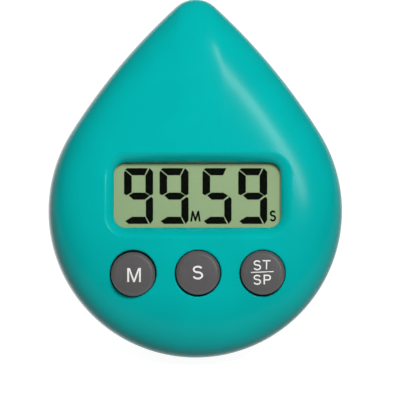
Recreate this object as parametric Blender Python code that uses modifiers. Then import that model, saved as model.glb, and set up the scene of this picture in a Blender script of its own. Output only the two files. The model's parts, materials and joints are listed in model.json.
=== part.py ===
import bpy
import bmesh
from math import atan2, cos, pi, radians, sin, sqrt
from mathutils import Matrix, Vector

# Drop-shaped digital timer, leaning on its open stand.
# Every piece is drawn face on: X to the right, Y up the face, Z out of the face,
# with the flat back at Z 0. One tilted empty then leans the whole timer back.

MM = 0.001

# Case outline: a round bottom, a small round tip and two long side arcs
BOTTOM_RADIUS = 35.0 * MM
TIP_RADIUS = 6.7 * MM
SIDE_RADIUS = 146.0 * MM
TIP_HEIGHT = 43.8 * MM
BACK_DEPTH = 8.0 * MM
CROWN_DEPTH = 12.5 * MM
CROWN_POWER = 3.0
CROWN_BLUNT = 0.7
CROWN_PULL = 0.15
EDGE_ROUND = 5.0 * MM
WALL = 1.8 * MM
SEAM = 0.2 * MM
TONGUE_WALL = 0.8 * MM
TONGUE_RISE = 1.2 * MM
CLEARANCE = 0.3 * MM
FILM_GAP = 0.05 * MM

# Display
WINDOW_WIDTH = 39.7 * MM
WINDOW_HEIGHT = 15.4 * MM
WINDOW_CORNER = 2.8 * MM
WINDOW_Y = 3.8 * MM
RECESS_WALL = 2.15 * MM
WINDOW_STEP = 0.8 * MM
WINDOW_LAND = 1.8 * MM
WINDOW_BLOCK = 1.4 * MM
SEAT_Z = 16.5 * MM
LENS_THICK = 1.0 * MM
POLARISER_THICK = 0.2 * MM
GLASS_THICK = 0.7 * MM
GLASS_MARGIN = 1.1 * MM
GLASS_LEDGE = 2.0 * MM
FRAME_WALL = 0.7 * MM

# Board
BOARD_Z = 11.0 * MM
BOARD_THICK = 1.0 * MM
BOARD_MARGIN = 1.6 * MM
BOARD_SCREW_Y = 6.0 * MM
POST_RADIUS = 2.0 * MM
BLOB_RADIUS = 5.0 * MM
BLOB_RISE = 1.2 * MM
CRYSTAL_RADIUS = 1.0 * MM
CRYSTAL_LENGTH = 6.0 * MM
CHIP_LENGTH = 2.0 * MM
CHIP_WIDTH = 1.25 * MM
CHIP_RISE = 0.6 * MM

# Buttons
BUTTON_PITCH = 15.4 * MM
BUTTON_Y = -14.8 * MM
BUTTON_RADIUS = 5.2 * MM
BUTTON_PROUD = 1.1 * MM
BUTTON_TRAVEL = 0.8 * MM
FLANGE_WIDTH = 0.8 * MM
FLANGE_THICK = 1.0 * MM
COLLAR_WALL = 1.6 * MM
COLLAR_Z = 15.4 * MM
MAT_THICK = 0.8 * MM
MAT_MARGIN = 0.3 * MM
DOME_RADIUS = 4.6 * MM
DOME_TOP_RADIUS = 3.2 * MM
DOME_WALL = 0.9 * MM
PILL_RADIUS = 1.8 * MM
PILL_THICK = 0.5 * MM

# Cell and its door
CELL_Y = 31.0 * MM
CELL_RADIUS = 5.8 * MM
CELL_THICK = 5.4 * MM
DOOR_RADIUS = 8.6 * MM
DOOR_THICK = 1.2 * MM
DOOR_HUB_RADIUS = 6.9 * MM
DOOR_HUB_THICK = 1.2 * MM
DOOR_TURN = radians(60)
LUG_WIDTH = 3.0 * MM
SLOT_LENGTH = 12.0 * MM
SLOT_WIDTH = 1.8 * MM
SLOT_DEPTH = 1.0 * MM
CUP_WALL = 1.2 * MM
CONTACT_THICK = 0.25 * MM

# Stand
HINGE_Y = 16.0 * MM
HINGE_Z = 2.2 * MM
STAND_TOP_HALF = 9.0 * MM
STAND_FOOT_HALF = 12.0 * MM
STAND_THICK = 2.6 * MM
STAND_HEEL = 3.0 * MM
STAND_OPEN = radians(47)
STAND_EDGE = 4.0 * MM
PIN_RADIUS = 1.1 * MM
PIN_REACH = 2.2 * MM
POCKET_FLOOR = 1.3 * MM
HEEL_BLOCK = 4.0 * MM
NOTCH_RADIUS = 4.0 * MM

# Sounder, magnets and screws
BUZZER_Y = -8.0 * MM
BUZZER_RADIUS = 9.4 * MM
BUZZER_THICK = 0.25 * MM
CERAMIC_RADIUS = 6.5 * MM
MAGNET_EDGE = 3.5 * MM
MAGNET_Y = 2.0 * MM
MAGNET_RADIUS = 4.0 * MM
MAGNET_THICK = 2.0 * MM
SCREW_RADIUS = 0.95 * MM
SCREW_HEAD = 1.9 * MM
HEAD_SEAT = 3.0 * MM
LOW_SCREW_ANGLE = radians(-30)
HIGH_SCREW_Y = 24.0 * MM
LEAD_RADIUS = 0.4 * MM

for old in list(bpy.data.objects):
    bpy.data.objects.remove(old, do_unlink=True)
scene = bpy.context.scene
parts = bpy.data.collections.new("digital_timer")
cutters = bpy.data.collections.new("cutters")
scene.collection.children.link(parts)
scene.collection.children.link(cutters)


def material(name, color, roughness, metallic=0.0):
    made = bpy.data.materials.new(name)
    made.use_nodes = True
    shader = made.node_tree.nodes["Principled BSDF"]
    shader.inputs["Base Color"].default_value = (*color, 1.0)
    shader.inputs["Roughness"].default_value = roughness
    shader.inputs["Metallic"].default_value = metallic
    made.diffuse_color = (*color, 1.0)
    return made


teal = material("teal_abs", (0.0, 0.46, 0.44), 0.35)
grey = material("grey_button_plastic", (0.10, 0.095, 0.095), 0.5)
acrylic = material("clear_acrylic", (0.75, 0.82, 0.78), 0.05)
glass = material("display_glass", (0.55, 0.65, 0.50), 0.05)
film = material("polariser_film", (0.35, 0.42, 0.26), 0.3)
silver = material("reflector_film", (0.60, 0.62, 0.58), 0.4)
white = material("white_abs", (0.80, 0.80, 0.78), 0.5)
zebra = material("striped_rubber", (0.12, 0.12, 0.14), 0.7)
laminate = material("board_laminate", (0.05, 0.22, 0.09), 0.5)
epoxy = material("black_epoxy", (0.02, 0.02, 0.02), 0.3)
tin = material("tinned_steel", (0.62, 0.62, 0.60), 0.3, 1.0)
chip = material("chip_ceramic", (0.45, 0.32, 0.20), 0.6)
silicone = material("silicone_rubber", (0.55, 0.57, 0.58), 0.7)
carbon = material("carbon_rubber", (0.03, 0.03, 0.03), 0.8)
brass = material("brass_sheet", (0.72, 0.52, 0.22), 0.3, 1.0)
ceramic = material("piezo_ceramic", (0.78, 0.76, 0.70), 0.5)
steel = material("cell_steel", (0.70, 0.70, 0.70), 0.25, 1.0)
nickel = material("magnet_nickel", (0.55, 0.54, 0.52), 0.3, 1.0)
screw = material("screw_steel", (0.40, 0.40, 0.42), 0.35, 1.0)
red = material("red_wire", (0.55, 0.03, 0.03), 0.5)
black = material("black_wire", (0.02, 0.02, 0.02), 0.5)


def lean_for_stand(ground_points, length):
    """The lean at which the open stand's foot and the case's lower edge meet one floor."""
    low, high = 0.0, STAND_OPEN
    for _ in range(60):
        lean = (low + high) / 2
        floor = min(y * cos(lean) + z * sin(lean) for y, z in ground_points)
        hinge = HINGE_Y * cos(lean) + HINGE_Z * sin(lean) - floor
        swing = STAND_OPEN - lean
        foot = hinge - length * cos(swing) - STAND_THICK / 2 * sin(swing)
        low, high = (lean, high) if foot > 0 else (low, lean)
    return (low + high) / 2


def side_centre(bottom, tip, side, rise):
    drop = ((side - tip) ** 2 - (side - bottom) ** 2 - rise ** 2) / (2 * rise)
    return -sqrt((side - bottom) ** 2 - drop ** 2), -drop


def case_sizes(level=1.0, inset=0.0):
    """Radii and tip height of the outline inset from the edge, or of a crown ring above it."""
    bottom, tip = BOTTOM_RADIUS - inset, TIP_RADIUS - inset
    side, top = SIDE_RADIUS - inset, TIP_HEIGHT + TIP_RADIUS - inset
    ring_tip = level * (tip + (bottom - tip) * CROWN_BLUNT * (1 - level))
    ring_top = level * top * (1 - CROWN_PULL * (1 - level))
    return bottom * level, ring_tip, side * level, ring_top - ring_tip


def drop_outline(sizes, bottom_steps=30, side_steps=6, tip_steps=6):
    bottom, tip, side, rise = sizes
    cx, cy = side_centre(bottom, tip, side, rise)
    low, high = atan2(-cy, -cx), atan2(rise - cy, -cx)
    right = [(side, a, cx, cy) for a in spread(low, high, side_steps)]
    over = [(tip, a, 0.0, rise) for a in spread(high, pi - high, tip_steps)]
    left = [(side, a, -cx, cy) for a in spread(pi - high, pi - low, side_steps)]
    under = [(bottom, a, 0.0, 0.0) for a in spread(pi - low, 2 * pi + low, bottom_steps)]
    return [(x + r * cos(a), y + r * sin(a)) for r, a, x, y in right + over + left + under]


def spread(start, end, steps):
    return [start + (end - start) * i / steps for i in range(steps)]


def side_x(y, inset):
    """Half-width of the inset case outline at a height where its long side arc runs."""
    sizes = case_sizes(1.0, inset)
    cx, cy = side_centre(*sizes)
    return cx + sqrt(sizes[2] ** 2 - (y - cy) ** 2)


def inside_drop(x, y, sizes):
    bottom, tip, side, rise = sizes
    cx, cy = side_centre(bottom, tip, side, rise)
    angle = atan2(y - cy, abs(x) - cx)
    if angle < atan2(-cy, -cx):
        return x * x + y * y < bottom * bottom
    if angle > atan2(rise - cy, -cx):
        return x * x + (y - rise) ** 2 < tip * tip
    return (abs(x) - cx) ** 2 + (y - cy) ** 2 < side * side


def crown_z(x, y, inset=0.0):
    """Height of the domed face, or of the inner face under it, over a point of the plan."""
    low, high = 0.0, 1.0
    for _ in range(40):
        level = (low + high) / 2
        low, high = (low, level) if inside_drop(x, y, case_sizes(level, inset)) else (level, high)
    return BACK_DEPTH + (CROWN_DEPTH - inset) * (1 - high ** CROWN_POWER) ** (1 / CROWN_POWER)


def rounded(width, height, corner, cx=0.0, cy=0.0, steps=6):
    points = []
    for i, (sx, sy) in enumerate(((1, 1), (-1, 1), (-1, -1), (1, -1))):
        x, y = cx + sx * (width / 2 - corner), cy + sy * (height / 2 - corner)
        points += [
            (x + corner * cos(a), y + corner * sin(a))
            for a in (pi / 2 * (i + k / steps) for k in range(steps + 1))
        ]
    return points


def circle(radius, cx=0.0, cy=0.0, steps=24):
    return [
        (cx + radius * cos(2 * pi * i / steps), cy + radius * sin(2 * pi * i / steps))
        for i in range(steps)
    ]


def mesh_object(name, build, collection):
    mesh = bpy.data.meshes.new(name)
    shape = bmesh.new()
    build(shape)
    bmesh.ops.recalc_face_normals(shape, faces=shape.faces)
    shape.to_mesh(mesh)
    shape.free()
    made = bpy.data.objects.new(name, mesh)
    collection.objects.link(made)
    return made


def loft(name, rings, collection, closed=False):
    """A skin over rings of points, its ends capped, or joined end to end when closed."""

    def build(shape):
        loops = [[shape.verts.new(p) for p in ring] for ring in rings]
        for lower, upper in zip(loops, loops[1:] + loops[:1] if closed else loops[1:]):
            for i in range(len(lower)):
                k = (i + 1) % len(lower)
                shape.faces.new((lower[i], lower[k], upper[k], upper[i]))
        if not closed:
            shape.faces.new(loops[0][::-1])
            shape.faces.new(loops[-1])

    return mesh_object(name, build, collection)


def pegs(name, pieces, collection, steps=20):
    """Round pegs standing on the plan, one for each x, y, radius, bottom and top."""

    def build(shape):
        for x, y, radius, bottom, top in pieces:
            place = Matrix.Translation((x, y, (bottom + top) / 2))
            bmesh.ops.create_cone(
                shape, cap_ends=True, segments=steps, radius1=radius, radius2=radius,
                depth=top - bottom, matrix=place,
            )

    return mesh_object(name, build, collection)


def boxes(name, pieces, collection):
    """Boxes given by their low and high corners."""

    def build(shape):
        for low, high in pieces:
            size = Vector(high) - Vector(low)
            place = Matrix.Translation((Vector(low) + Vector(high)) / 2) @ Matrix.Diagonal((*size, 1))
            bmesh.ops.create_cube(shape, size=1.0, matrix=place)

    return mesh_object(name, build, collection)


def settle(made, collection):
    """Turn a drawn curve or a turned profile into one closed mesh."""
    bpy.context.view_layer.update()
    evaluated = made.evaluated_get(bpy.context.evaluated_depsgraph_get())
    mesh = bpy.data.meshes.new_from_object(evaluated)
    shape = bmesh.new()
    shape.from_mesh(mesh)
    bmesh.ops.remove_doubles(shape, verts=shape.verts, dist=1e-7)
    bmesh.ops.recalc_face_normals(shape, faces=shape.faces)
    shape.to_mesh(mesh)
    shape.free()
    name = made.name
    bpy.data.objects.remove(made, do_unlink=True)
    mesh.name = name
    settled = bpy.data.objects.new(name, mesh)
    collection.objects.link(settled)
    return settled


def slab(name, outlines, bottom, top, collection):
    drawn = bpy.data.curves.new(name, "CURVE")
    drawn.dimensions = "2D"
    drawn.fill_mode = "BOTH"
    drawn.extrude = (top - bottom) / 2
    for outline in outlines:
        spline = drawn.splines.new("POLY")
        spline.points.add(len(outline) - 1)
        spline.use_cyclic_u = True
        for point, (x, y) in zip(spline.points, outline):
            point.co = (x, y, 0.0, 1.0)
    made = settle(link(name, drawn, collection), collection)
    made.data.transform(Matrix.Translation((0, 0, (bottom + top) / 2)))
    return made


def link(name, data, collection):
    made = bpy.data.objects.new(name, data)
    collection.objects.link(made)
    return made


def tube(name, points, radius, collection):
    drawn = bpy.data.curves.new(name, "CURVE")
    drawn.dimensions = "3D"
    drawn.bevel_depth = radius
    drawn.bevel_resolution = 1
    drawn.use_fill_caps = True
    drawn.resolution_u = 4
    spline = drawn.splines.new("BEZIER")
    spline.bezier_points.add(len(points) - 1)
    for point, place in zip(spline.bezier_points, points):
        point.co = place
        point.handle_left_type = point.handle_right_type = "AUTO"
    return settle(link(name, drawn, collection), collection)


def turned(name, profile, collection, steps=28):
    """A profile of radius and height, from the top of the axis to its bottom, turned round Z."""
    mesh = bpy.data.meshes.new(name)
    mesh.from_pydata(
        [(r, 0.0, z) for r, z in profile], [(i, i + 1) for i in range(len(profile) - 1)], []
    )
    made = link(name, mesh, collection)
    turn = made.modifiers.new("turn", "SCREW")
    turn.axis = "Z"
    turn.steps = turn.render_steps = steps
    turn.use_merge_vertices = True
    turn.merge_threshold = 1e-6
    turn.use_normal_calculate = True
    return settle(made, collection)


def cut(made, tool, operation="DIFFERENCE"):
    change = made.modifiers.new(tool.name, "BOOLEAN")
    change.operation = operation
    change.solver = "EXACT"
    change.object = tool
    tool.hide_render = True
    tool.display_type = "WIRE"


def finish(made, look, location=(0, 0, 0)):
    made.data.materials.clear()
    made.data.materials.append(look)
    made.parent = lean_axes
    made.location = location
    return made


def raised(outline, z):
    return [(x, y, z) for x, y in outline]


def stacked(steps):
    """Case outlines, each inset from the edge and raised to its height."""
    return [raised(drop_outline(case_sizes(1.0, inset)), z) for inset, z in steps]


# Case outlines and the lean
FLAT_RADIUS = BOTTOM_RADIUS - EDGE_ROUND
STAND_LENGTH = HINGE_Y + FLAT_RADIUS - STAND_EDGE
MAGNET_X = FLAT_RADIUS - MAGNET_EDGE - MAGNET_RADIUS
edge_turns = [pi / 2 * i / 5 for i in range(6)]
edge_rings = [(EDGE_ROUND * (1 - sin(a)), EDGE_ROUND * (1 - cos(a))) for a in edge_turns]
LEAN = lean_for_stand([(inset - BOTTOM_RADIUS, z) for inset, z in edge_rings], STAND_LENGTH)

lean_axes = bpy.data.objects.new("lean_axes", None)
scene.collection.objects.link(lean_axes)
lean_axes.rotation_euler = (pi / 2 - LEAN, 0, 0)

crown_turns = [radians(a) for a in (5, 14, 27, 40, 53, 65, 76, 85)]


def crown_rings(inset, skirt):
    """Rings from the skirt heights up to the flat at the top of the crown."""
    rings = stacked([(inset, z) for z in skirt])
    for a in crown_turns:
        level, rise = cos(a) ** (2 / CROWN_POWER), sin(a) ** (2 / CROWN_POWER)
        rings.append(raised(drop_outline(case_sizes(level, inset)),
                            BACK_DEPTH + rise * (CROWN_DEPTH - inset)))
    return rings


# Front shell: the crown, hollowed by a smaller crown that leaves its posts standing
button_spots = [(-BUTTON_PITCH, BUTTON_Y), (0.0, BUTTON_Y), (BUTTON_PITCH, BUTTON_Y)]
flange_radius = BUTTON_RADIUS + CLEARANCE + FLANGE_WIDTH
tongue_out, tongue_in = WALL + CLEARANCE, WALL + CLEARANCE + TONGUE_WALL
boss_radius = SCREW_HEAD + 3 * CLEARANCE
case_inset = tongue_in + boss_radius + CLEARANCE
low_reach = BOTTOM_RADIUS - case_inset
low_x, low_y = low_reach * cos(LOW_SCREW_ANGLE), low_reach * sin(LOW_SCREW_ANGLE)
high_x = side_x(HIGH_SCREW_Y, case_inset)
case_spots = [(-low_x, low_y), (low_x, low_y), (-high_x, HIGH_SCREW_Y), (high_x, HIGH_SCREW_Y)]
glass_half = WINDOW_WIDTH / 2 + GLASS_MARGIN
glass_high = WINDOW_Y + WINDOW_HEIGHT / 2 + GLASS_MARGIN
glass_low = WINDOW_Y - WINDOW_HEIGHT / 2 - GLASS_MARGIN
frame_low, frame_high = glass_low - GLASS_LEDGE - CLEARANCE, glass_high + CLEARANCE
frame_half = glass_half + CLEARANCE
side_post_x = frame_half + FRAME_WALL + POST_RADIUS + 2 * CLEARANCE
low_post_y = BUTTON_Y - flange_radius - POST_RADIUS - 3 * CLEARANCE
board_spots = [(-side_post_x, BOARD_SCREW_Y), (side_post_x, BOARD_SCREW_Y), (0.0, low_post_y)]
crown_top = BACK_DEPTH + CROWN_DEPTH + 2 * MM
bore_radius = BUTTON_RADIUS + CLEARANCE
front_base = BACK_DEPTH + SEAM / 2
pilot_radius = SCREW_RADIUS + CLEARANCE
post_wall = POST_RADIUS + 0.4 * MM
board_front = BOARD_Z + BOARD_THICK

front_shell = loft("front_shell", crown_rings(0.0, [front_base]), parts)
front_hollow = loft("front_hollow", crown_rings(WALL, [BACK_DEPTH - 1 * MM, BACK_DEPTH]), cutters)
lens_size = (WINDOW_WIDTH + 2 * WINDOW_LAND, WINDOW_HEIGHT + 2 * WINDOW_LAND)
window_block = slab("window_block", [rounded(lens_size[0] + 2 * WINDOW_BLOCK,
                    lens_size[1] + 2 * WINDOW_BLOCK, WINDOW_CORNER, 0, WINDOW_Y)], SEAT_Z, crown_top, cutters)
collars = pegs(
    "button_collars",
    [(x, y, bore_radius + COLLAR_WALL, COLLAR_Z, crown_top) for x, y in button_spots], cutters, 28)
front_posts = pegs(
    "front_posts",
    [(x, y, POST_RADIUS, board_front + FILM_GAP, crown_top) for x, y in board_spots]
    + [(x, y, post_wall, BACK_DEPTH + CLEARANCE, crown_top) for x, y in case_spots],
    cutters,
)
for tool in (window_block, collars, front_posts):
    cut(front_hollow, tool)


def pilot_top(x, y):
    """Blind end of a screw's pilot hole, well under the face."""
    return crown_z(x, y) - 2 * WALL


def window_ring(grow, z):
    return raised(rounded(WINDOW_WIDTH + 2 * grow, WINDOW_HEIGHT + 2 * grow,
                          WINDOW_CORNER + grow, 0, WINDOW_Y), z)


rim = [(x, y, crown_z(x, y)) for x, y, _ in window_ring(RECESS_WALL, 0)]
recess = loft(
    "window_recess",
    [
        window_ring(0, SEAT_Z - 1 * MM),
        window_ring(0, SEAT_Z + WINDOW_STEP),
        rim,
        [(x, y, z + 2 * MM) for x, y, z in rim],
    ],
    cutters,
)
front_bores = pegs(
    "front_bores",
    [(x, y, bore_radius, COLLAR_Z - 1 * MM, crown_top) for x, y in button_spots]
    + [(x, y, pilot_radius, 0.0, pilot_top(x, y)) for x, y in case_spots + board_spots],
    cutters,
    24,
)
lens_top = SEAT_Z - FILM_GAP
lens_base = lens_top - LENS_THICK
polariser_top = lens_base - FILM_GAP
front_glass_top = polariser_top - POLARISER_THICK - FILM_GAP
frame_top = front_glass_top - 2 * FILM_GAP
frame_relief = boxes(
    "frame_relief",
    [((-frame_half - FRAME_WALL - CLEARANCE, frame_low - FRAME_WALL - CLEARANCE, BOARD_Z),
      (frame_half + FRAME_WALL + CLEARANCE, frame_high + FRAME_WALL + CLEARANCE, frame_top + CLEARANCE))],
    cutters,
)
for tool in (front_hollow, recess, front_bores, frame_relief):
    cut(front_shell, tool)
finish(front_shell, teal)

# Back shell: a shallow tray with the stand pocket, the cell cup, screw bosses and a tongue
pocket_depth = HINGE_Z + STAND_THICK / 2 + CLEARANCE
along = Vector((cos(STAND_OPEN), sin(STAND_OPEN)))
across = Vector((-sin(STAND_OPEN), cos(STAND_OPEN))) * (STAND_THICK / 2 + CLEARANCE)
stop_face = [across - along * 2 * MM, across + along * (STAND_HEEL + CLEARANCE)]
heel_depth = HINGE_Z + stop_face[1].y
heel_wall = STAND_HEEL + 0.7 * MM
cup_floor_z = DOOR_THICK + DOOR_HUB_THICK + CELL_THICK + 0.9 * MM
groove_radius = DOOR_HUB_RADIUS + 1.5 * MM
cup_radius = groove_radius + CUP_WALL


def stand_outline(grow, heel, foot):
    """The paddle seen flat, measured from its hinge line, its foot corners rounded."""
    corner = 3.0 * MM + grow
    lean_in = (STAND_FOOT_HALF - STAND_TOP_HALF) / STAND_LENGTH
    wide, slim = STAND_FOOT_HALF + grow, STAND_TOP_HALF + grow - lean_in * heel
    right = [(wide - corner + corner * cos(a), -foot + corner + corner * sin(a))
             for a in (pi / 2 * (k / 5 - 1) for k in range(6))]
    half = right + [(slim, heel)]
    return half + [(-x, y) for x, y in reversed(half)]


pocket_plan = [(x, y + HINGE_Y) for x, y in
               stand_outline(CLEARANCE, heel_wall, STAND_LENGTH + CLEARANCE)]
block_plan = [(x, y + HINGE_Y) for x, y in
              stand_outline(WALL, heel_wall + WALL, STAND_LENGTH + WALL)]

tongue_top, cup_top = BACK_DEPTH + TONGUE_RISE, cup_floor_z + CUP_WALL
rim_z, rib_z = BACK_DEPTH - SEAM / 2, BACK_DEPTH - 2.5 * MM

hollow_edge = [(WALL + max(inset - WALL, 0) * 0.9, max(z, WALL))
               for inset, z in edge_rings if z > WALL or inset == EDGE_ROUND]
back_shell = loft(
    "back_shell",
    stacked(edge_rings + [(0.0, rim_z), (tongue_out, rim_z), (tongue_out, tongue_top),
                          (tongue_in, tongue_top), (tongue_in, rib_z), (WALL, rib_z)]
            + hollow_edge[::-1]), parts)
floor_z = WALL / 2
pocket_block = slab("pocket_block", [block_plan], floor_z, pocket_depth + POCKET_FLOOR, cutters)
heel_reach = STAND_TOP_HALF + PIN_REACH + 2 * CLEARANCE + WALL
heel_block = boxes(
    "heel_block",
    [((-heel_reach, HINGE_Y - HEEL_BLOCK, floor_z),
      (heel_reach, HINGE_Y + heel_wall + POCKET_FLOOR, heel_depth + POCKET_FLOOR))],
    cutters,
)
back_posts = pegs(
    "back_posts",
    [(x, y, boss_radius, floor_z, rim_z) for x, y in case_spots]
    + [(x * MAGNET_X, MAGNET_Y, MAGNET_RADIUS + CLEARANCE + 1.2 * MM, floor_z,
        MAGNET_THICK + CLEARANCE + 1.2 * MM) for x in (-1, 1)]
    + [(0.0, CELL_Y, cup_radius, floor_z, cup_top)],
    cutters,
    28,
)
buzzer_seat = pocket_depth + POCKET_FLOOR + 1.0 * MM
buzzer_ring = slab(
    "buzzer_ring",
    [circle(BUZZER_RADIUS + 0.4 * MM, 0, BUZZER_Y), circle(BUZZER_RADIUS - 1.2 * MM, 0, BUZZER_Y)],
    1.0 * MM, buzzer_seat, cutters,
)
notch_y = HINGE_Y - STAND_LENGTH
notch_cup = pegs("notch_cup", [(0.0, notch_y, NOTCH_RADIUS + WALL, floor_z, pocket_depth + POCKET_FLOOR)],
                 cutters, 28)
for tool in (pocket_block, heel_block, back_posts, buzzer_ring, notch_cup):
    cut(back_shell, tool, "UNION")

pocket = slab("stand_pocket", [pocket_plan], -1 * MM, pocket_depth, cutters)
notch = pegs("finger_notch", [(0.0, notch_y, NOTCH_RADIUS, -1 * MM, pocket_depth)], cutters, 28)

stop_profile = [(p.x, p.y) for p in stop_face] + [
    (heel_wall, STAND_THICK / 2), (heel_wall, -2 * HINGE_Z), (stop_face[0].x, -2 * HINGE_Z)]
stop_half = STAND_TOP_HALF + CLEARANCE - 0.05 * MM
heel_stop = loft(
    "heel_stop",
    [[(x, HINGE_Y + y, HINGE_Z + z) for y, z in stop_profile] for x in (-stop_half, stop_half)],
    cutters,
)


def cross_pin(name, radius, reach, y, z, collection):
    made = pegs(name, [(0.0, 0.0, radius, -reach, reach)], collection, 16)
    made.data.transform(Matrix.Translation((0, y, z)) @ Matrix.Rotation(pi / 2, 4, "Y"))
    return made


pin_bore = cross_pin("pin_bore", PIN_RADIUS + CLEARANCE,
                     STAND_TOP_HALF + PIN_REACH + CLEARANCE, HINGE_Y, HINGE_Z, cutters)
cup_bore = turned(
    "cup_bore",
    [
        (0.0, cup_floor_z),
        (CELL_RADIUS + 0.4 * MM, cup_floor_z),
        (CELL_RADIUS + 0.4 * MM, DOOR_THICK + DOOR_HUB_THICK + CLEARANCE),
        (groove_radius, DOOR_THICK + DOOR_HUB_THICK + CLEARANCE),
        (groove_radius, DOOR_THICK + 0.5 * MM),
        (DOOR_HUB_RADIUS + CLEARANCE, DOOR_THICK + 0.5 * MM),
        (DOOR_HUB_RADIUS + CLEARANCE, DOOR_THICK + 0.2 * MM),
        (DOOR_RADIUS + CLEARANCE, DOOR_THICK + 0.2 * MM),
        (DOOR_RADIUS + CLEARANCE, -1 * MM),
        (0.0, -1 * MM),
    ],
    cutters,
)
cup_bore.location = (0, CELL_Y, 0)
lug_gap = LUG_WIDTH / 2 + CLEARANCE + 2 * FILM_GAP
entry = boxes(
    "lug_entry",
    [((-groove_radius, -lug_gap, 0.5 * MM), (groove_radius, lug_gap, DOOR_THICK + 1.0 * MM))],
    cutters,
)
entry.location = (0, CELL_Y, 0)
entry.rotation_euler = (0, 0, DOOR_TURN)
contact_slot = boxes(
    "contact_slot",
    [((CELL_RADIUS - 0.5 * MM, CELL_Y - 2.3 * MM, DOOR_THICK + DOOR_HUB_THICK + 1 * MM),
      (CELL_RADIUS + 1.0 * MM, CELL_Y + 2.3 * MM, cup_floor_z - 0.1 * MM))],
    cutters,
)
lead_hole = LEAD_RADIUS + CLEARANCE
lead_spot = (CELL_RADIUS + CLEARANCE * 1.5, CELL_Y)
pip_y = CELL_Y - CELL_RADIUS * 0.6
back_holes = pegs(
    "back_holes",
    [(x, y, SCREW_HEAD + CLEARANCE, -1 * MM, HEAD_SEAT) for x, y in case_spots]
    + [(x * MAGNET_X, MAGNET_Y, MAGNET_RADIUS + CLEARANCE, -1 * MM, MAGNET_THICK + CLEARANCE)
       for x in (-1, 1)]
    + [(4 * MM * cos(a), BUZZER_Y + 4 * MM * sin(a), 0.8 * MM, 1 * MM, BACK_DEPTH)
       for a in (2 * pi * k / 5 + pi / 2 for k in range(5))]
    + [(0.0, pip_y, lead_hole, cup_floor_z - 0.5 * MM, 2 * BACK_DEPTH),
       (*lead_spot, lead_hole, cup_floor_z - 1.5 * MM, 2 * BACK_DEPTH)],
    cutters,
    20,
)
shank_holes = pegs("shank_holes", [(x, y, pilot_radius, 1 * MM, 2 * BACK_DEPTH) for x, y in case_spots],
                   cutters, 16)
for tool in (pocket, notch, heel_stop, pin_bore, cup_bore, entry, contact_slot, back_holes, shank_holes):
    cut(back_shell, tool)
finish(back_shell, teal)

# Display stack, from the window back to the board
display_window = slab(
    "display_window", [rounded(*lens_size, WINDOW_CORNER, 0, WINDOW_Y)], lens_base, lens_top, parts)
finish(display_window, acrylic)


def layer(name, low, high, top, thick, look, half=glass_half):
    made = boxes(name, [((-half, low, top - thick), (half, high, top))], parts)
    return finish(made, look)


rear_glass_top = front_glass_top - GLASS_THICK - FILM_GAP
reflector_top = rear_glass_top - GLASS_THICK - FILM_GAP
shelf_top = reflector_top - POLARISER_THICK - FILM_GAP
layer("display_polariser", glass_low, glass_high, polariser_top, POLARISER_THICK, film)
layer("display_front_glass", glass_low - GLASS_LEDGE, glass_high, front_glass_top, GLASS_THICK, glass)
layer("display_rear_glass", glass_low, glass_high, rear_glass_top, GLASS_THICK, glass)
layer("display_reflector", glass_low, glass_high, reflector_top, POLARISER_THICK, silver)

display_frame = boxes(
    "display_frame",
    [((-frame_half - FRAME_WALL, frame_low - FRAME_WALL, board_front + FILM_GAP),
      (frame_half + FRAME_WALL, frame_high + FRAME_WALL, frame_top))],
    parts,
)
glass_bay = boxes(
    "glass_bay", [((-frame_half, frame_low, shelf_top), (frame_half, frame_high, crown_top))], cutters)
zebra_low, zebra_high = frame_low + 0.3 * MM, glass_low - 0.2 * MM
frame_openings = boxes(
    "frame_openings",
    [((-glass_half + 1.5 * MM, glass_low + 1.5 * MM, BOARD_Z), (glass_half - 1.5 * MM,
      glass_high - 1.5 * MM, crown_top)),
     ((-glass_half + 1.5 * MM, zebra_low, BOARD_Z), (glass_half - 1.5 * MM, zebra_high, crown_top))],
    cutters,
)
cut(display_frame, glass_bay)
cut(display_frame, frame_openings)
finish(display_frame, white)
layer("zebra_strip", zebra_low + CLEARANCE, zebra_high - CLEARANCE,
      front_glass_top - GLASS_THICK - FILM_GAP,
      front_glass_top - GLASS_THICK - 2 * FILM_GAP - board_front, zebra,
      glass_half - 1.5 * MM - CLEARANCE)

# Board and what is soldered to it
board_top = frame_high + FRAME_WALL + BOARD_MARGIN
board_bottom = low_post_y - POST_RADIUS - BOARD_MARGIN
board_half = side_post_x + POST_RADIUS + CLEARANCE
tail_half = min(BUTTON_PITCH + DOME_RADIUS + 2 * MAT_MARGIN, low_x - post_wall - 2 * CLEARANCE)
shoulder_y = frame_low - FRAME_WALL
tail_corner = BUTTON_PITCH / 2
tail = [(tail_half - tail_corner + tail_corner * cos(a), board_bottom + tail_corner + tail_corner * sin(a))
        for a in (pi / 2 * (k / 6 - 1) for k in range(7))]
half_plan = tail + [(tail_half, shoulder_y), (board_half, shoulder_y),
                    (board_half, BOARD_SCREW_Y + POST_RADIUS + CLEARANCE),
                    (frame_half + FRAME_WALL, board_top)]
board_plan = half_plan + [(-x, y) for x, y in reversed(half_plan)]
main_board = slab(
    "main_board", [board_plan] + [circle(pilot_radius, x, y, 16) for x, y in board_spots],
    BOARD_Z, board_front, parts)
finish(main_board, laminate)
solder_z = BOARD_Z - FILM_GAP
blob = [(BLOB_RADIUS * cos(a), -BLOB_RISE * sin(a)) for a in spread(0, pi / 2, 5)]
controller = turned("controller_blob", [(0.0, 0.0)] + blob + [(0.0, -BLOB_RISE)], parts, 24)
finish(controller, epoxy, (-0.8 * BUTTON_PITCH, WINDOW_Y, solder_z))
crystal = pegs("quartz_crystal",
               [(0.0, 0.0, CRYSTAL_RADIUS, -CRYSTAL_LENGTH / 2, CRYSTAL_LENGTH / 2)], parts, 16)
crystal.data.transform(Matrix.Rotation(pi / 2, 4, "Y"))
finish(crystal, tin, (-0.8 * BUTTON_PITCH, -WINDOW_Y, solder_z - CRYSTAL_RADIUS))
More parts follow.
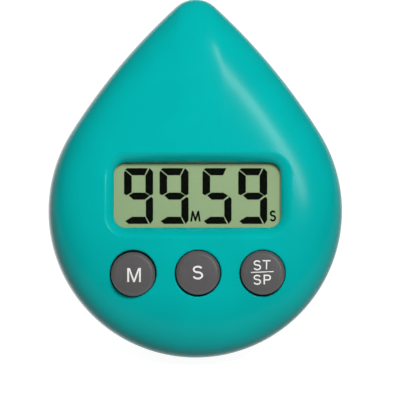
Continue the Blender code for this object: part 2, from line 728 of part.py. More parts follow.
chips = (("chip_capacitor", chip, -0.25), ("chip_resistor", epoxy, 0.8))
for name, look, column in chips:
    for row in (1, 2):
        made = boxes(f"{name}_{row}", [((-CHIP_LENGTH / 2, -CHIP_WIDTH / 2, -CHIP_RISE),
                                        (CHIP_LENGTH / 2, CHIP_WIDTH / 2, 0.0))], parts)
        finish(made, look, (column * BUTTON_PITCH, row * WINDOW_Y, solder_z))

# Buttons, with the rubber domes and pills under them
flange_top = COLLAR_Z - CLEARANCE
flange_base = flange_top - FLANGE_THICK
mat_base = board_front + FILM_GAP
mat_top = mat_base + MAT_THICK
dome_top = flange_base - CLEARANCE
pill_base = mat_base + BUTTON_TRAVEL
names = ("minute", "second", "start_stop")
for name, (x, y) in zip(names, button_spots):
    top = crown_z(x, y) + BUTTON_PROUD - flange_base
    skin, stem, roll = 1.4 * MM, 2.2 * MM, 0.7 * MM
    cap = [(0.0, top), (BUTTON_RADIUS * 0.6, top - 0.12 * MM)]
    cap += [(BUTTON_RADIUS - roll * (1 - sin(a)), top - 0.3 * MM - roll * (1 - cos(a)))
            for a in spread(0, pi / 2, 3) + [pi / 2]]
    cap += [(BUTTON_RADIUS, FLANGE_THICK), (flange_radius, FLANGE_THICK), (flange_radius, 0.0),
            (BUTTON_RADIUS - skin, 0.0), (BUTTON_RADIUS - skin, top - 2 * skin),
            (stem, top - 2 * skin), (stem, 0.0), (0.0, 0.0)]
    finish(turned(name + "_button", cap, parts, 24), grey, (x, y, flange_base))
    pill = pegs(name + "_pill", [(0.0, 0.0, PILL_RADIUS, 0.0, PILL_THICK)], parts, 20)
    finish(pill, carbon, (x, y, pill_base))

mat_width = 2 * (tail_half - MAT_MARGIN)
mat_height = 2 * (DOME_RADIUS + 3 * MAT_MARGIN)
keypad_mat = slab("keypad_mat", [rounded(mat_width, mat_height, DOME_WALL, 0, BUTTON_Y)],
                  mat_base, mat_top, parts)


def dome_stack(name, shrink, bottom, top, collection):
    low, high = DOME_RADIUS - shrink, DOME_TOP_RADIUS - shrink

    def build(shape):
        for x, y in button_spots:
            place = Matrix.Translation((x, y, (bottom + top) / 2))
            bmesh.ops.create_cone(shape, cap_ends=True, segments=24, radius1=low, radius2=high,
                                  depth=top - bottom, matrix=place)

    return mesh_object(name, build, collection)


domes = dome_stack("keypad_domes", 0.0, mat_base + 0.1 * MM, dome_top, cutters)
dome_hollows = dome_stack("keypad_hollows", DOME_WALL, mat_base - 1 * MM,
                          pill_base + PILL_THICK + FILM_GAP, cutters)
cut(keypad_mat, domes, "UNION")
cut(keypad_mat, dome_hollows)
finish(keypad_mat, silicone)

# Sounder on its ring behind the stand pocket
plate_base = buzzer_seat + FILM_GAP
buzzer_plate = pegs("buzzer_plate", [(0.0, 0.0, BUZZER_RADIUS, 0.0, BUZZER_THICK)], parts, 28)
finish(buzzer_plate, brass, (0, BUZZER_Y, plate_base))
ceramic_base = plate_base + BUZZER_THICK + FILM_GAP
buzzer_ceramic = pegs("buzzer_ceramic", [(0.0, 0.0, CERAMIC_RADIUS, 0.0, BUZZER_THICK)], parts, 24)
finish(buzzer_ceramic, ceramic, (0, BUZZER_Y, ceramic_base))

# Cell, its two contacts and its coin-slot door
cell_base = DOOR_THICK + DOOR_HUB_THICK + CLEARANCE + 0.1 * MM
cell_top = cell_base + CELL_THICK
rim_step = 0.3 * MM
cell = turned(
    "button_cell",
    [(0.0, cell_top), (CELL_RADIUS - 1.2 * MM, cell_top), (CELL_RADIUS - 1.2 * MM, cell_top - rim_step),
     (CELL_RADIUS - rim_step, cell_top - rim_step), (CELL_RADIUS, cell_top - 2 * rim_step),
     (CELL_RADIUS, cell_base + rim_step), (CELL_RADIUS - rim_step, cell_base), (0.0, cell_base)],
    parts,
)
finish(cell, steel, (0, CELL_Y, 0))
plate = turned("negative_contact",
               [(0.0, CONTACT_THICK), (CELL_RADIUS * 0.65, CONTACT_THICK), (CELL_RADIUS * 0.65, 0.0),
                (0.0, 0.0)], parts, 24)
finish(plate, tin, (0, CELL_Y, cell_top + FILM_GAP))
spring = boxes("positive_contact",
               [((CELL_RADIUS + CLEARANCE / 2, CELL_Y - CELL_RADIUS * 0.35, cell_base + 0.8 * MM),
                 (CELL_RADIUS + CLEARANCE / 2 + 2 * CONTACT_THICK, CELL_Y + CELL_RADIUS * 0.35,
                  cell_top - 0.6 * MM))], parts)
finish(spring, tin)
door = turned(
    "battery_door",
    [(0.0, DOOR_THICK + DOOR_HUB_THICK), (DOOR_HUB_RADIUS, DOOR_THICK + DOOR_HUB_THICK),
     (DOOR_HUB_RADIUS, DOOR_THICK), (DOOR_RADIUS, DOOR_THICK), (DOOR_RADIUS, 0.0), (0.0, 0.0)],
    parts, 32,
)
lugs = boxes(
    "door_lugs",
    [((-groove_radius + CLEARANCE, -LUG_WIDTH / 2, DOOR_THICK + 0.8 * MM),
      (groove_radius - CLEARANCE, LUG_WIDTH / 2, DOOR_THICK + DOOR_HUB_THICK - FILM_GAP))],
    cutters,
)
coin_slot = boxes(
    "coin_slot",
    [((-SLOT_LENGTH / 2, -SLOT_WIDTH / 2, -SLOT_DEPTH), (SLOT_LENGTH / 2, SLOT_WIDTH / 2, SLOT_DEPTH))],
    cutters,
)
for tool in (lugs, coin_slot):
    tool.location = (0, CELL_Y, 0)
cut(door, lugs, "UNION")
cut(door, coin_slot)
finish(door, teal, (0, CELL_Y, 0))

# Fold-out stand, open against its stop
stand = slab("stand", [stand_outline(0.0, STAND_HEEL, STAND_LENGTH)], -STAND_THICK / 2, STAND_THICK / 2,
             parts)
stand_pins = cross_pin("stand_pins", PIN_RADIUS, STAND_TOP_HALF + PIN_REACH, 0, 0, cutters)
cut(stand, stand_pins, "UNION")
finish(stand, teal, (0, HINGE_Y, HINGE_Z))
stand.rotation_euler = (STAND_OPEN, 0, 0)
stand_pins.location = (0, HINGE_Y, HINGE_Z)

# Magnets, screws and leads
for number, x in enumerate((-MAGNET_X, MAGNET_X), 1):
    disc = pegs(f"magnet_{number}", [(0.0, 0.0, MAGNET_RADIUS, 0.0, MAGNET_THICK)], parts, 28)
    finish(disc, nickel, (x, MAGNET_Y, FILM_GAP))


def screws(prefix, spots, seat, head):
    """Pan-head screws driven in from the back, their heads under the seat."""
    length = min(pilot_top(x, y) for x, y in spots) - seat - CLEARANCE
    crown, slot_half = head * 0.7, head * 0.1
    for number, (x, y) in enumerate(spots, 1):
        made = turned(
            f"{prefix}_{number}",
            [(0.0, length), (SCREW_RADIUS * 0.6, length), (SCREW_RADIUS, length - SCREW_RADIUS * 0.6),
             (SCREW_RADIUS, 0.0), (head, 0.0), (head, -crown * 0.6), (crown, -crown), (0.0, -crown)],
            parts, 12,
        )
        slot = boxes(f"{prefix}_slot_{number}",
                     [((-crown, -slot_half, -head), (crown, slot_half, -crown * 0.6))], cutters)
        finish(made, screw, (x, y, seat))
        cut(made, slot)
        slot.parent = lean_axes
        slot.location = (x, y, seat)


screws("case_screw", case_spots, HEAD_SEAT - FILM_GAP, SCREW_HEAD)
screws("board_screw", board_spots, BOARD_Z - FILM_GAP, SCREW_HEAD * 0.9)

over = cup_floor_z + CUP_WALL + LEAD_RADIUS + CLEARANCE
lead_end = solder_z - FILM_GAP


def board_end(x):
    """The last bends of a lead, dipping under the board's edge and up to its pad."""
    dip, pad_y = over - 3 * LEAD_RADIUS, board_top - 7 * LEAD_RADIUS
    return [(x, board_top + 7 * LEAD_RADIUS, dip), (x, pad_y + 2.5 * LEAD_RADIUS, dip - LEAD_RADIUS / 2),
            (x, pad_y + LEAD_RADIUS / 4, dip + LEAD_RADIUS), (x, pad_y, lead_end)]


def buzzer_path(x, start):
    slack, middle = LEAD_RADIUS, (start + lead_end) / 2
    return [(x, BUZZER_Y, start), (x + slack, BUZZER_Y - slack, middle), (x, BUZZER_Y, lead_end)]


leads = (
    ("negative_lead", black, [(0.0, pip_y, cell_top + LEAD_RADIUS), (0.0, pip_y, over),
                              *board_end(-2 * LEAD_RADIUS)]),
    ("positive_lead", red, [(*lead_spot, cell_top - LEAD_RADIUS), (*lead_spot, over),
                            *board_end(CELL_RADIUS + 3 * LEAD_RADIUS)]),
    ("buzzer_lead_1", red, buzzer_path(-2.0 * MM, ceramic_base + BUZZER_THICK + FILM_GAP)),
    ("buzzer_lead_2", black, buzzer_path((CERAMIC_RADIUS + BUZZER_RADIUS) / 2,
                                         plate_base + BUZZER_THICK + FILM_GAP)),
)
for name, look, path in leads:
    finish(tube(name, path, LEAD_RADIUS, parts), look)

for tool in cutters.objects:
    tool.hide_render = True
    if tool.parent is None:
        tool.parent = lean_axes
stand_pins.rotation_euler = (STAND_OPEN, 0, 0)

# Set the leaning timer on the floor with the middle of its footprint at the origin
bpy.context.view_layer.update()
graph = bpy.context.evaluated_depsgraph_get()
corners = []
for made in parts.objects:
    seen = made.evaluated_get(graph)
    corners += [seen.matrix_world @ v.co for v in seen.to_mesh().vertices]
    seen.to_mesh_clear()
nearest, farthest = min(p.y for p in corners), max(p.y for p in corners)
lean_axes.location = (0, -(nearest + farthest) / 2, -min(p.z for p in corners))
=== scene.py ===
import bpy
import bmesh
import json
from math import atan2, cos, pi, radians, sin, sqrt
from mathutils import Matrix, Vector


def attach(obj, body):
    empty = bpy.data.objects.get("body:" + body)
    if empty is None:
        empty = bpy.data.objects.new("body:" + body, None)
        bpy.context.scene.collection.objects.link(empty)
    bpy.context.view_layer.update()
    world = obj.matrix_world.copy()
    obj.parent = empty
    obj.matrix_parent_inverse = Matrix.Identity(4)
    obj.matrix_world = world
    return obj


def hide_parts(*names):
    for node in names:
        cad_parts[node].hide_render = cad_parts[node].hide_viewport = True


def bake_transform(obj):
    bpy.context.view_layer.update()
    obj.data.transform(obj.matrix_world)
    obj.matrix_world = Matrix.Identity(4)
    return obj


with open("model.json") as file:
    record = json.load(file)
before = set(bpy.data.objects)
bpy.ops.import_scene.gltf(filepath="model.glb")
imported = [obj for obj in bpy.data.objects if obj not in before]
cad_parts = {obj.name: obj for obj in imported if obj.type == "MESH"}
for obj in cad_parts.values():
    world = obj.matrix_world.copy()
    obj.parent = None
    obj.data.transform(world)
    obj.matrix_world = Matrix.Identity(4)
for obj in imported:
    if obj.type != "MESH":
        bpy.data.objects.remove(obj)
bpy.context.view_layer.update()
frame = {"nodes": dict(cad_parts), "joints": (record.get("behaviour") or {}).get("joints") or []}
nodes = frame["nodes"]
scene = bpy.context.scene
mm = 0.001

# Pieces are modelled face on: X right, Y up the face, Z out of it, flat back at Z 0.
# faceToWorld leans them back to where the CAD nodes stand.
doorTurn = [j for j in frame["joints"] if j["name"] == "battery_door_turn"][0]
faceOut = Vector(doorTurn["axis"]).normalized()
faceRight = Vector((1, 0, 0))
faceUp = faceOut.cross(faceRight)
cellSpot = Vector((0, 31 * mm, 0))  # the door's axis, face on
faceOrigin = Vector(doorTurn["pos_m"]) - faceUp * cellSpot.y
faceToWorld = Matrix.Translation(faceOrigin) @ Matrix((faceRight, faceUp, faceOut)).transposed().to_4x4()


def deselectAll():
    if bpy.context.object and bpy.context.object.mode != "OBJECT":
        bpy.ops.object.mode_set(mode="OBJECT")
    bpy.ops.object.select_all(action="DESELECT")


def takeUp(piece):
    deselectAll()
    piece.select_set(True)
    bpy.context.view_layer.objects.active = piece
    return piece


def pick(piece, kind, test):  # edit mode, selects verts, edges or faces by place
    bpy.ops.mesh.select_mode(type=kind)
    bpy.ops.mesh.select_all(action="DESELECT")
    shape = bmesh.from_edit_mesh(piece.data)
    shape.normal_update()
    for part in {"VERT": shape.verts, "EDGE": shape.edges, "FACE": shape.faces}[kind]:
        if test(part):
            part.select_set(True)
    shape.select_flush_mode()
    bmesh.update_edit_mesh(piece.data)


def carve(piece, tool, how="DIFFERENCE"):
    takeUp(piece)
    change = piece.modifiers.new("carve", "BOOLEAN")
    change.operation, change.solver, change.object = how, "EXACT", tool
    bpy.ops.object.modifier_apply(modifier=change.name)
    bpy.data.objects.remove(tool, do_unlink=True)
    bpy.ops.object.mode_set(mode="EDIT")
    bpy.ops.mesh.select_all(action="SELECT")
    bpy.ops.mesh.remove_doubles(threshold=0.001 * mm)  # slivers along the cut
    bpy.ops.mesh.dissolve_degenerate(threshold=0.0005 * mm)
    bpy.ops.object.mode_set(mode="OBJECT")


def skinOver(name, rings, closed=False):  # a circle pulled up ring by ring onto outlines of equal count
    deselectAll()
    bpy.ops.mesh.primitive_circle_add(vertices=len(rings[0]), radius=10 * mm, fill_type="NOTHING")
    piece = bpy.context.object
    piece.name = piece.data.name = name
    for vert, place in zip(piece.data.vertices, rings[0]):
        vert.co = place
    bpy.ops.object.mode_set(mode="EDIT")
    bpy.ops.mesh.select_mode(type="VERT")
    bpy.ops.mesh.select_all(action="SELECT")
    for before, after in zip(rings, rings[1:]):
        bpy.ops.mesh.extrude_region_move()
        shape = bmesh.from_edit_mesh(piece.data)
        fresh = list(shape.verts)[-len(after):]
        for i, vert in enumerate(fresh):
            near = i
            if (vert.co - before[i]).length >= 1e-7:  # the extrude shuffled the ring
                near = min(range(len(before)), key=lambda k: (vert.co - before[k]).length_squared)
            vert.co = after[near]
        bmesh.update_edit_mesh(piece.data)
    count = len(rings[0])
    low, high = set(range(count)), set(range(count * (len(rings) - 1), count * len(rings)))
    if closed:  # last ring back to the first
        pick(piece, "EDGE", lambda e: any({v.index for v in e.verts} <= ring for ring in (low, high)))
        bpy.ops.mesh.bridge_edge_loops()
    else:
        for ends in (low, high):
            pick(piece, "VERT", lambda v: v.index in ends)
            bpy.ops.mesh.edge_face_add()
    bpy.ops.mesh.select_all(action="SELECT")
    bpy.ops.mesh.normals_make_consistent(inside=False)
    bpy.ops.object.mode_set(mode="OBJECT")
    return piece


def spinUp(name, profile, steps=96):  # a half profile of radius and height, spun round the Z axis
    deselectAll()
    bpy.ops.mesh.primitive_plane_add(size=mm)
    piece = bpy.context.object
    piece.name = piece.data.name = name
    bpy.ops.object.mode_set(mode="EDIT")
    bpy.ops.mesh.select_mode(type="VERT")
    bpy.ops.mesh.select_all(action="SELECT")
    bpy.ops.mesh.merge(type="CENTER")
    shape = bmesh.from_edit_mesh(piece.data)
    for vert in shape.verts:
        vert.co = (profile[0][0], 0, profile[0][1])
    bmesh.update_edit_mesh(piece.data)
    for (r0, z0), (r1, z1) in zip(profile, profile[1:]):
        bpy.ops.mesh.extrude_region_move(TRANSFORM_OT_translate={"value": (r1 - r0, 0, z1 - z0)})
    bpy.ops.mesh.select_all(action="SELECT")
    bpy.ops.mesh.spin(steps=steps, angle=2 * pi, center=(0, 0, 0), axis=(0, 0, 1))
    bpy.ops.mesh.select_all(action="SELECT")
    bpy.ops.mesh.remove_doubles(threshold=1e-6)
    bpy.ops.mesh.normals_make_consistent(inside=False)
    bpy.ops.object.mode_set(mode="OBJECT")
    return piece


def addBlock(name, size, middle):
    deselectAll()
    bpy.ops.mesh.primitive_cube_add(size=1.0, location=middle)
    block = bpy.context.object
    block.name = block.data.name = name
    block.scale = size
    bpy.ops.object.transform_apply(location=True, rotation=True, scale=True)
    return block


def climbs(edge, least):  # an edge that rises by more than that
    return abs(edge.verts[0].co.z - edge.verts[1].co.z) > least


def isRim(edge, topOnly=False):  # an edge between a flat face and an upright one
    tilts = [f.normal.z if topOnly else abs(f.normal.z) for f in edge.link_faces]
    return max(tilts) > 0.9 and min(abs(tilt) for tilt in tilts) < 0.1


def roundPicked(width, segments):
    bpy.ops.mesh.bevel(offset=width, offset_type="OFFSET", segments=segments, profile=0.5)


def circleSpots(x, y, radius, steps):
    turns = [2 * pi * i / steps for i in range(steps)]
    return [(x + radius * cos(a), y + radius * sin(a)) for a in turns]


def circleRing(x, y, radius, z, steps):
    return [Vector((px, py, z)) for px, py in circleSpots(x, y, radius, steps)]


def joinUp(films):  # several films into the first
    takeUp(films[0])
    for film in films[1:]:
        film.select_set(True)
    if len(films) > 1:
        bpy.ops.object.join()
    return films[0]


def smoothOff(piece, angle):
    takeUp(piece)
    bpy.ops.object.shade_smooth_by_angle(angle=radians(angle))
    even = piece.modifiers.new("even", "WEIGHTED_NORMAL")  # broad flats stay flat beside small roundings
    even.keep_sharp, even.weight = True, 80
    bpy.ops.object.modifier_apply(modifier=even.name)


def settle(piece, body, slotName, finish, *stands, at=(0, 0, 0)):  # lean it, dress it and let it ride
    takeUp(piece)
    piece.matrix_world = faceToWorld @ Matrix.Translation(at) @ piece.matrix_world
    bpy.ops.object.transform_apply(location=True, rotation=True, scale=True)
    piece.data.materials.clear()
    piece.data.materials.append(finish)
    if body:  # a piece given no body rides on none
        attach(piece, body)
    if stands:
        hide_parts(*stands)
    return piece


def cadCopy(name):  # a node's own solid, merged and turned face on
    copy = bpy.data.objects.new(name + "_copy", nodes[name].data.copy())
    scene.collection.objects.link(copy)
    copy.data.transform(faceToWorld.inverted())
    takeUp(copy)
    bpy.ops.object.mode_set(mode="EDIT")
    bpy.ops.mesh.select_all(action="SELECT")
    bpy.ops.mesh.remove_doubles(threshold=2e-6)
    bpy.ops.mesh.dissolve_limited(angle_limit=radians(0.3))  # one face per flat, so flats shade flat
    bpy.ops.object.mode_set(mode="OBJECT")
    return copy


print("stage: frame loaded, face axes set")

# Finishes


def hexColor(code):  # sRGB hex to linear
    parts = [int(code[i:i + 2], 16) / 255 for i in (1, 3, 5)]
    return tuple(c / 12.92 if c <= 0.04045 else ((c + 0.055) / 1.055) ** 2.4 for c in parts) + (1.0,)


def addNode(tree, kind, settings=None, links=None):
    made = tree.nodes.new(kind)
    for key, value in (settings or {}).items():
        if key in made.inputs:
            made.inputs[key].default_value = value
        else:
            setattr(made, key, value)
    for key, source in (links or {}).items():
        tree.links.new(source, made.inputs[key])
    return made


def grainScale(millimetres):  # noise cycles per metre for a feature of that width
    return 1.0 / (millimetres * mm)


def makeFinish(name, look):  # two tones broken up by grain, with the same grain in gloss and relief
    finish = bpy.data.materials.new(name)
    finish.use_nodes = True
    tree = finish.node_tree
    shader = tree.nodes["Principled BSDF"]
    place = addNode(tree, "ShaderNodeTexCoord").outputs["Object"]
    stretch = addNode(tree, "ShaderNodeMapping", {"Scale": look.get("stretch", (1, 1, 1))}, {"Vector": place})
    grain = addNode(tree, "ShaderNodeTexNoise", {"Scale": grainScale(look["grain"]), "Detail": 3.0},
                    {"Vector": stretch.outputs[0]})
    cloud = addNode(tree, "ShaderNodeTexNoise", {"Scale": grainScale(look.get("cloud", 9.0)), "Detail": 2.0},
                    {"Vector": place})
    blend = addNode(tree, "ShaderNodeMix", {"data_type": "FLOAT"})
    blend.inputs[0].default_value = look.get("cloudShare", 0.5)
    tree.links.new(grain.outputs[0], blend.inputs[2])
    tree.links.new(cloud.outputs[0], blend.inputs[3])
    tone = addNode(tree, "ShaderNodeValToRGB", {}, {"Fac": blend.outputs[0]})
    tone.color_ramp.elements[0].position, tone.color_ramp.elements[1].position = 0.35, 0.65
    tone.color_ramp.elements[0].color = hexColor(look["dark"])
    tone.color_ramp.elements[1].color = hexColor(look["light"])
    tree.links.new(tone.outputs[0], shader.inputs["Base Color"])
    gloss = addNode(tree, "ShaderNodeMapRange", {"To Min": look["rough"] - look.get("roughSpread", 0.04),
                                                 "To Max": look["rough"] + look.get("roughSpread", 0.04)},
                    {"Value": grain.outputs[0]})
    tree.links.new(gloss.outputs[0], shader.inputs["Roughness"])
    relief = addNode(tree, "ShaderNodeBump", {"Strength": look.get("bump", 0.1),
                                              "Distance": look.get("depth", 0.02) * mm},
                     {"Height": grain.outputs[0]})
    tree.links.new(relief.outputs[0], shader.inputs["Normal"])
    for key, value in look.get("shader", {}).items():
        shader.inputs[key].default_value = value
    return finish


finishes = {
    # moulded ABS, satin from a polished tool: one even strong colour, soft streaks, faint orange peel
    "teal_abs": ("moulded_teal_abs", {
        "dark": "#00B0AC", "light": "#00B7B3", "grain": 0.5, "cloud": 14.0, "cloudShare": 0.8, "rough": 0.2,
        "roughSpread": 0.02, "bump": 0.05, "depth": 0.01,
        "shader": {"IOR": 1.53, "Specular IOR Level": 0.09}}),
    # moulded ABS with a sparked tool face: duller, fine sand texture drawn coarser so it shows
    "grey_button_plastic": ("moulded_grey_abs", {
        "dark": "#555353", "light": "#5D5B5B", "grain": 0.3, "cloud": 5.0, "rough": 0.36, "bump": 0.12,
        "depth": 0.015, "shader": {"IOR": 1.53, "Specular IOR Level": 0.45}}),
    # cast acrylic sheet: clear, sharp reflections, a trace of green at depth
    "clear_acrylic": ("cast_acrylic", {
        "dark": "#5A6658", "light": "#606C5E", "grain": 3.0, "rough": 0.06, "roughSpread": 0.02, "bump": 0.0,
        "shader": {"IOR": 1.49, "Specular IOR Level": 0.2, "Alpha": 0.015}}),
    # soda-lime display glass: pale green, hard gloss
    "display_glass": ("soda_lime_glass", {
        "dark": "#9DB39A", "light": "#A6BBA2", "grain": 4.0, "rough": 0.05, "roughSpread": 0.02, "bump": 0.0,
        "shader": {"IOR": 1.52}}),
    # stretched polariser film over the cell: grey green, silky, with a very fine speckle
    "polariser_film": ("polariser_film", {
        "dark": "#98AF82", "light": "#9DB488", "grain": 0.35, "cloud": 8.0, "rough": 0.38, "bump": 0.05,
        "depth": 0.005, "shader": {"IOR": 1.5, "Specular IOR Level": 0.1}}),
    # brushed aluminised film: silver with fine lines one way
    "reflector_film": ("aluminised_film", {
        "dark": "#A7ABA4", "light": "#C2C5BE", "grain": 0.4, "stretch": (0.05, 1, 1), "rough": 0.35,
        "bump": 0.1, "shader": {"Metallic": 1.0}}),
    # natural white ABS, unpolished tool
    "white_abs": ("moulded_white_abs", {
        "dark": "#E2E1DC", "light": "#EDECE8", "grain": 0.4, "rough": 0.5, "bump": 0.08,
        "shader": {"IOR": 1.53}}),
    # zebra strip: dark conducting layers between pale ones, drawn at 0.5 mm so they show
    "striped_rubber": ("zebra_rubber", {
        "dark": "#202024", "light": "#C9B9A6", "grain": 0.5, "stretch": (1, 0.01, 0.01), "cloudShare": 0.0,
        "rough": 0.7, "bump": 0.1}),
    # glass and epoxy board under green mask: woven mottle and a soft gloss
    "board_laminate": ("fibreglass_board", {
        "dark": "#145C30", "light": "#1E7340", "grain": 0.8, "rough": 0.42, "bump": 0.1,
        "shader": {"IOR": 1.55}}),
    # poured epoxy: black, wet gloss, slow waves
    "black_epoxy": ("poured_black_epoxy", {
        "dark": "#161616", "light": "#222222", "grain": 1.5, "rough": 0.28, "bump": 0.1,
        "shader": {"IOR": 1.55}}),
    # tinned steel: bright, slightly clouded metal
    "tinned_steel": ("tinned_steel", {
        "dark": "#BDBDB8", "light": "#D2D2CE", "grain": 0.7, "rough": 0.3, "bump": 0.08,
        "shader": {"Metallic": 1.0}}),
    # fired chip ceramic: matte tan with grit
    "chip_ceramic": ("fired_chip_ceramic", {
        "dark": "#A98D68", "light": "#BCA27E", "grain": 0.2, "rough": 0.6, "bump": 0.15}),
    # moulded silicone: translucent grey, dull skin
    "silicone_rubber": ("moulded_silicone", {
        "dark": "#B8BCBE", "light": "#C6CACB", "grain": 0.6, "rough": 0.62, "bump": 0.1,
        "shader": {"Subsurface Weight": 0.15, "Subsurface Scale": 0.001}}),
    # carbon-filled rubber: near black and dry
    "carbon_rubber": ("carbon_rubber", {
        "dark": "#1C1C1C", "light": "#2A2A2A", "grain": 0.2, "rough": 0.8, "bump": 0.15}),
    # rolled brass sheet: yellow with rolling lines
    "brass_sheet": ("rolled_brass", {
        "dark": "#C9A24E", "light": "#DDBA68", "grain": 0.4, "stretch": (0.04, 1, 1), "rough": 0.3,
        "bump": 0.1, "shader": {"Metallic": 1.0}}),
    # silvered piezo disc: off-white ceramic, fine chalk speckle
    "piezo_ceramic": ("piezo_ceramic", {
        "dark": "#DAD7CC", "light": "#E8E5DC", "grain": 0.3, "rough": 0.5, "bump": 0.08}),
    # drawn nickel-plated cell can: turned bright
    "cell_steel": ("plated_cell_steel", {
        "dark": "#C8C8C6", "light": "#D8D8D6", "grain": 0.6, "rough": 0.25, "bump": 0.05,
        "shader": {"Metallic": 1.0}}),
    # nickel-plated magnet: warm grey, tumbled, small dings
    "magnet_nickel": ("nickel_plate", {
        "dark": "#B4B1AB", "light": "#C9C6C0", "grain": 0.5, "rough": 0.28, "bump": 0.12,
        "shader": {"Metallic": 1.0}}),
    # zinc-plated screw steel: cool grey, slightly sooty in the low spots
    "screw_steel": ("zinc_plated_steel", {
        "dark": "#8E9196", "light": "#B2B5BA", "grain": 0.3, "rough": 0.34, "bump": 0.12,
        "shader": {"Metallic": 1.0}}),
    # PVC lead covering: soft sheen
    "red_wire": ("red_pvc", {
        "dark": "#B01C1C", "light": "#C42626", "grain": 0.8, "rough": 0.45, "bump": 0.05}),
    "black_wire": ("black_pvc", {
        "dark": "#1A1A1A", "light": "#262626", "grain": 0.8, "rough": 0.45, "bump": 0.05}),
    # screen-printed ink on the buttons: flat white, edges a touch uneven
    "white_print": ("white_screen_ink", {
        "dark": "#ECECEA", "light": "#F6F6F4", "grain": 0.25, "rough": 0.55, "bump": 0.1}),
    # driven liquid crystal: the figures look solid black with no gloss of their own
    "black_segment": ("dark_liquid_crystal", {
        "dark": "#020302", "light": "#040504", "grain": 0.4, "rough": 0.7, "bump": 0.0,
        "shader": {"Specular IOR Level": 0.0}}),
}
made = {slotName: makeFinish(*entry) for slotName, entry in finishes.items()}
for node in nodes.values():  # carried-over CAD nodes get the finish of their slot
    slotName = node.data.materials[0].name.split(".")[0]
    node.data.materials[0] = made[slotName]
print("stage: finishes", len(made))

# Case outline and crown, the same sizes as the CAD case
case = {"bottom": 35.0 * mm, "tip": 6.7 * mm, "side": 146.0 * mm, "rise": 43.8 * mm, "parting": 8.0 * mm,
        "crown": 12.5 * mm, "power": 3.0, "blunt": 0.7, "pull": 0.15, "edge": 5.0 * mm,
        "seamHalf": 0.12 * mm, "cover": 0.03 * mm, "skin": 0.9 * mm, "lap": 0.3 * mm, "edgeSteps": 18,
        "around": (120, 36, 40), "rings": 54, "innerRings": 16, "lastTurn": 87, "crowding": 1.5}


def sideCentre(bottom, tip, side, rise):
    drop = ((side - tip) ** 2 - (side - bottom) ** 2 - rise ** 2) / (2 * rise)
    return -sqrt((side - bottom) ** 2 - drop ** 2), -drop


def dropSizes(level=1.0, inset=0.0):
    bottom, tip, side = case["bottom"] - inset, case["tip"] - inset, case["side"] - inset
    top = case["rise"] + case["tip"] - inset
    ringTip = level * (tip + (bottom - tip) * case["blunt"] * (1 - level))
    ringTop = level * top * (1 - case["pull"] * (1 - level))
    return bottom * level, ringTip, side * level, ringTop - ringTip


def dropRing(sizes, z):
    bottom, tip, side, rise = sizes
    cx, cy = sideCentre(*sizes)
    low, high = atan2(-cy, -cx), atan2(rise - cy, -cx)
    under, flank, over = case["around"]
    arcs = ((side, low, high, flank, cx, cy), (tip, high, pi - high, over, 0, rise),
            (side, pi - high, pi - low, flank, -cx, cy), (bottom, pi - low, 2 * pi + low, under, 0, 0))
    return [Vector((x + r * cos(a + (b - a) * i / n), y + r * sin(a + (b - a) * i / n), z))
            for r, a, b, n, x, y in arcs for i in range(n)]


def insideDrop(x, y, sizes):
    bottom, tip, side, rise = sizes
    cx, cy = sideCentre(*sizes)
    turn = atan2(y - cy, abs(x) - cx)
    if turn < atan2(-cy, -cx):
        return x * x + y * y < bottom * bottom
    if turn > atan2(rise - cy, -cx):
        return x * x + (y - rise) ** 2 < tip * tip
    return (abs(x) - cx) ** 2 + (y - cy) ** 2 < side * side


def crownHeight(x, y):
    low, high = 0.0, 1.0
    for _ in range(30):
        level = (low + high) / 2
        low, high = (low, level) if insideDrop(x, y, dropSizes(level)) else (level, high)
    return case["parting"] + case["crown"] * (1 - high ** case["power"]) ** (1 / case["power"])


def crownRings(inset, count, first):
    rings = [dropRing(dropSizes(1.0, inset), first)]
    for i in range(1, count + 1):
        turn = radians(case["lastTurn"]) * (i / count) ** case["crowding"]
        level, lift = cos(turn) ** (2 / case["power"]), sin(turn) ** (2 / case["power"])
        rings.append(dropRing(dropSizes(level, inset), case["parting"] + lift * (case["crown"] - inset)))
    return rings


# Window recess and button bores
recess = {"width": 39.7 * mm, "height": 15.4 * mm, "corner": 2.8 * mm, "y": 3.8 * mm, "floor": 15.6 * mm,
          "step": 17.3 * mm, "lip": 2.45 * mm, "bow": 1.3, "over": 0.02 * mm, "grow": 0.04 * mm, "steps": 14,
          "cornerSteps": 12, "straights": (44, 12), "under": 1.0 * mm,
          "clear": ((0.4, 0.12), (0.6, 3.0)),  # past the lip: out and up in mm
          "fill": (3.4, 2.2, 1.0, -1.5), "fillLow": 16.56 * mm, "fillSink": 0.4 * mm}
bores = {"radius": 5.52 * mm, "y": -14.8 * mm, "pitch": 15.4 * mm, "floor": 14.4 * mm, "steps": 96,
         "lip": ((0.0, -0.3), (0.04, -0.17), (0.11, -0.07), (0.22, 0.01), (0.4, 0.12), (0.6, 3.0))}


def roundedRing(grow, lift, follow=False):  # a rounded oblong, points spread along its long straights too
    w, h = recess["width"] / 2 + grow, recess["height"] / 2 + grow
    corner = recess["corner"] + grow
    steps, points = recess["cornerSteps"], []
    corners = ((1, 1), (-1, 1), (-1, -1), (1, -1))
    for i, (sx, sy) in enumerate(corners):
        cx, cy = sx * (w - corner), recess["y"] + sy * (h - corner)
        turns = [pi / 2 * (i + k / steps) for k in range(steps + 1)]
        points += [(cx + corner * cos(a), cy + corner * sin(a)) for a in turns]
        fromX, fromY = points[-1]
        nextX, nextY = corners[(i + 1) % 4]
        toX = nextX * (w - corner) + corner * cos(turns[-1])
        toY = recess["y"] + nextY * (h - corner) + corner * sin(turns[-1])
        count = recess["straights"][i % 2]
        points += [(fromX + (toX - fromX) * k / count, fromY + (toY - fromY) * k / count)
                   for k in range(1, count)]
    return [Vector((x, y, crownHeight(x, y) + lift if follow else lift)) for x, y in points]


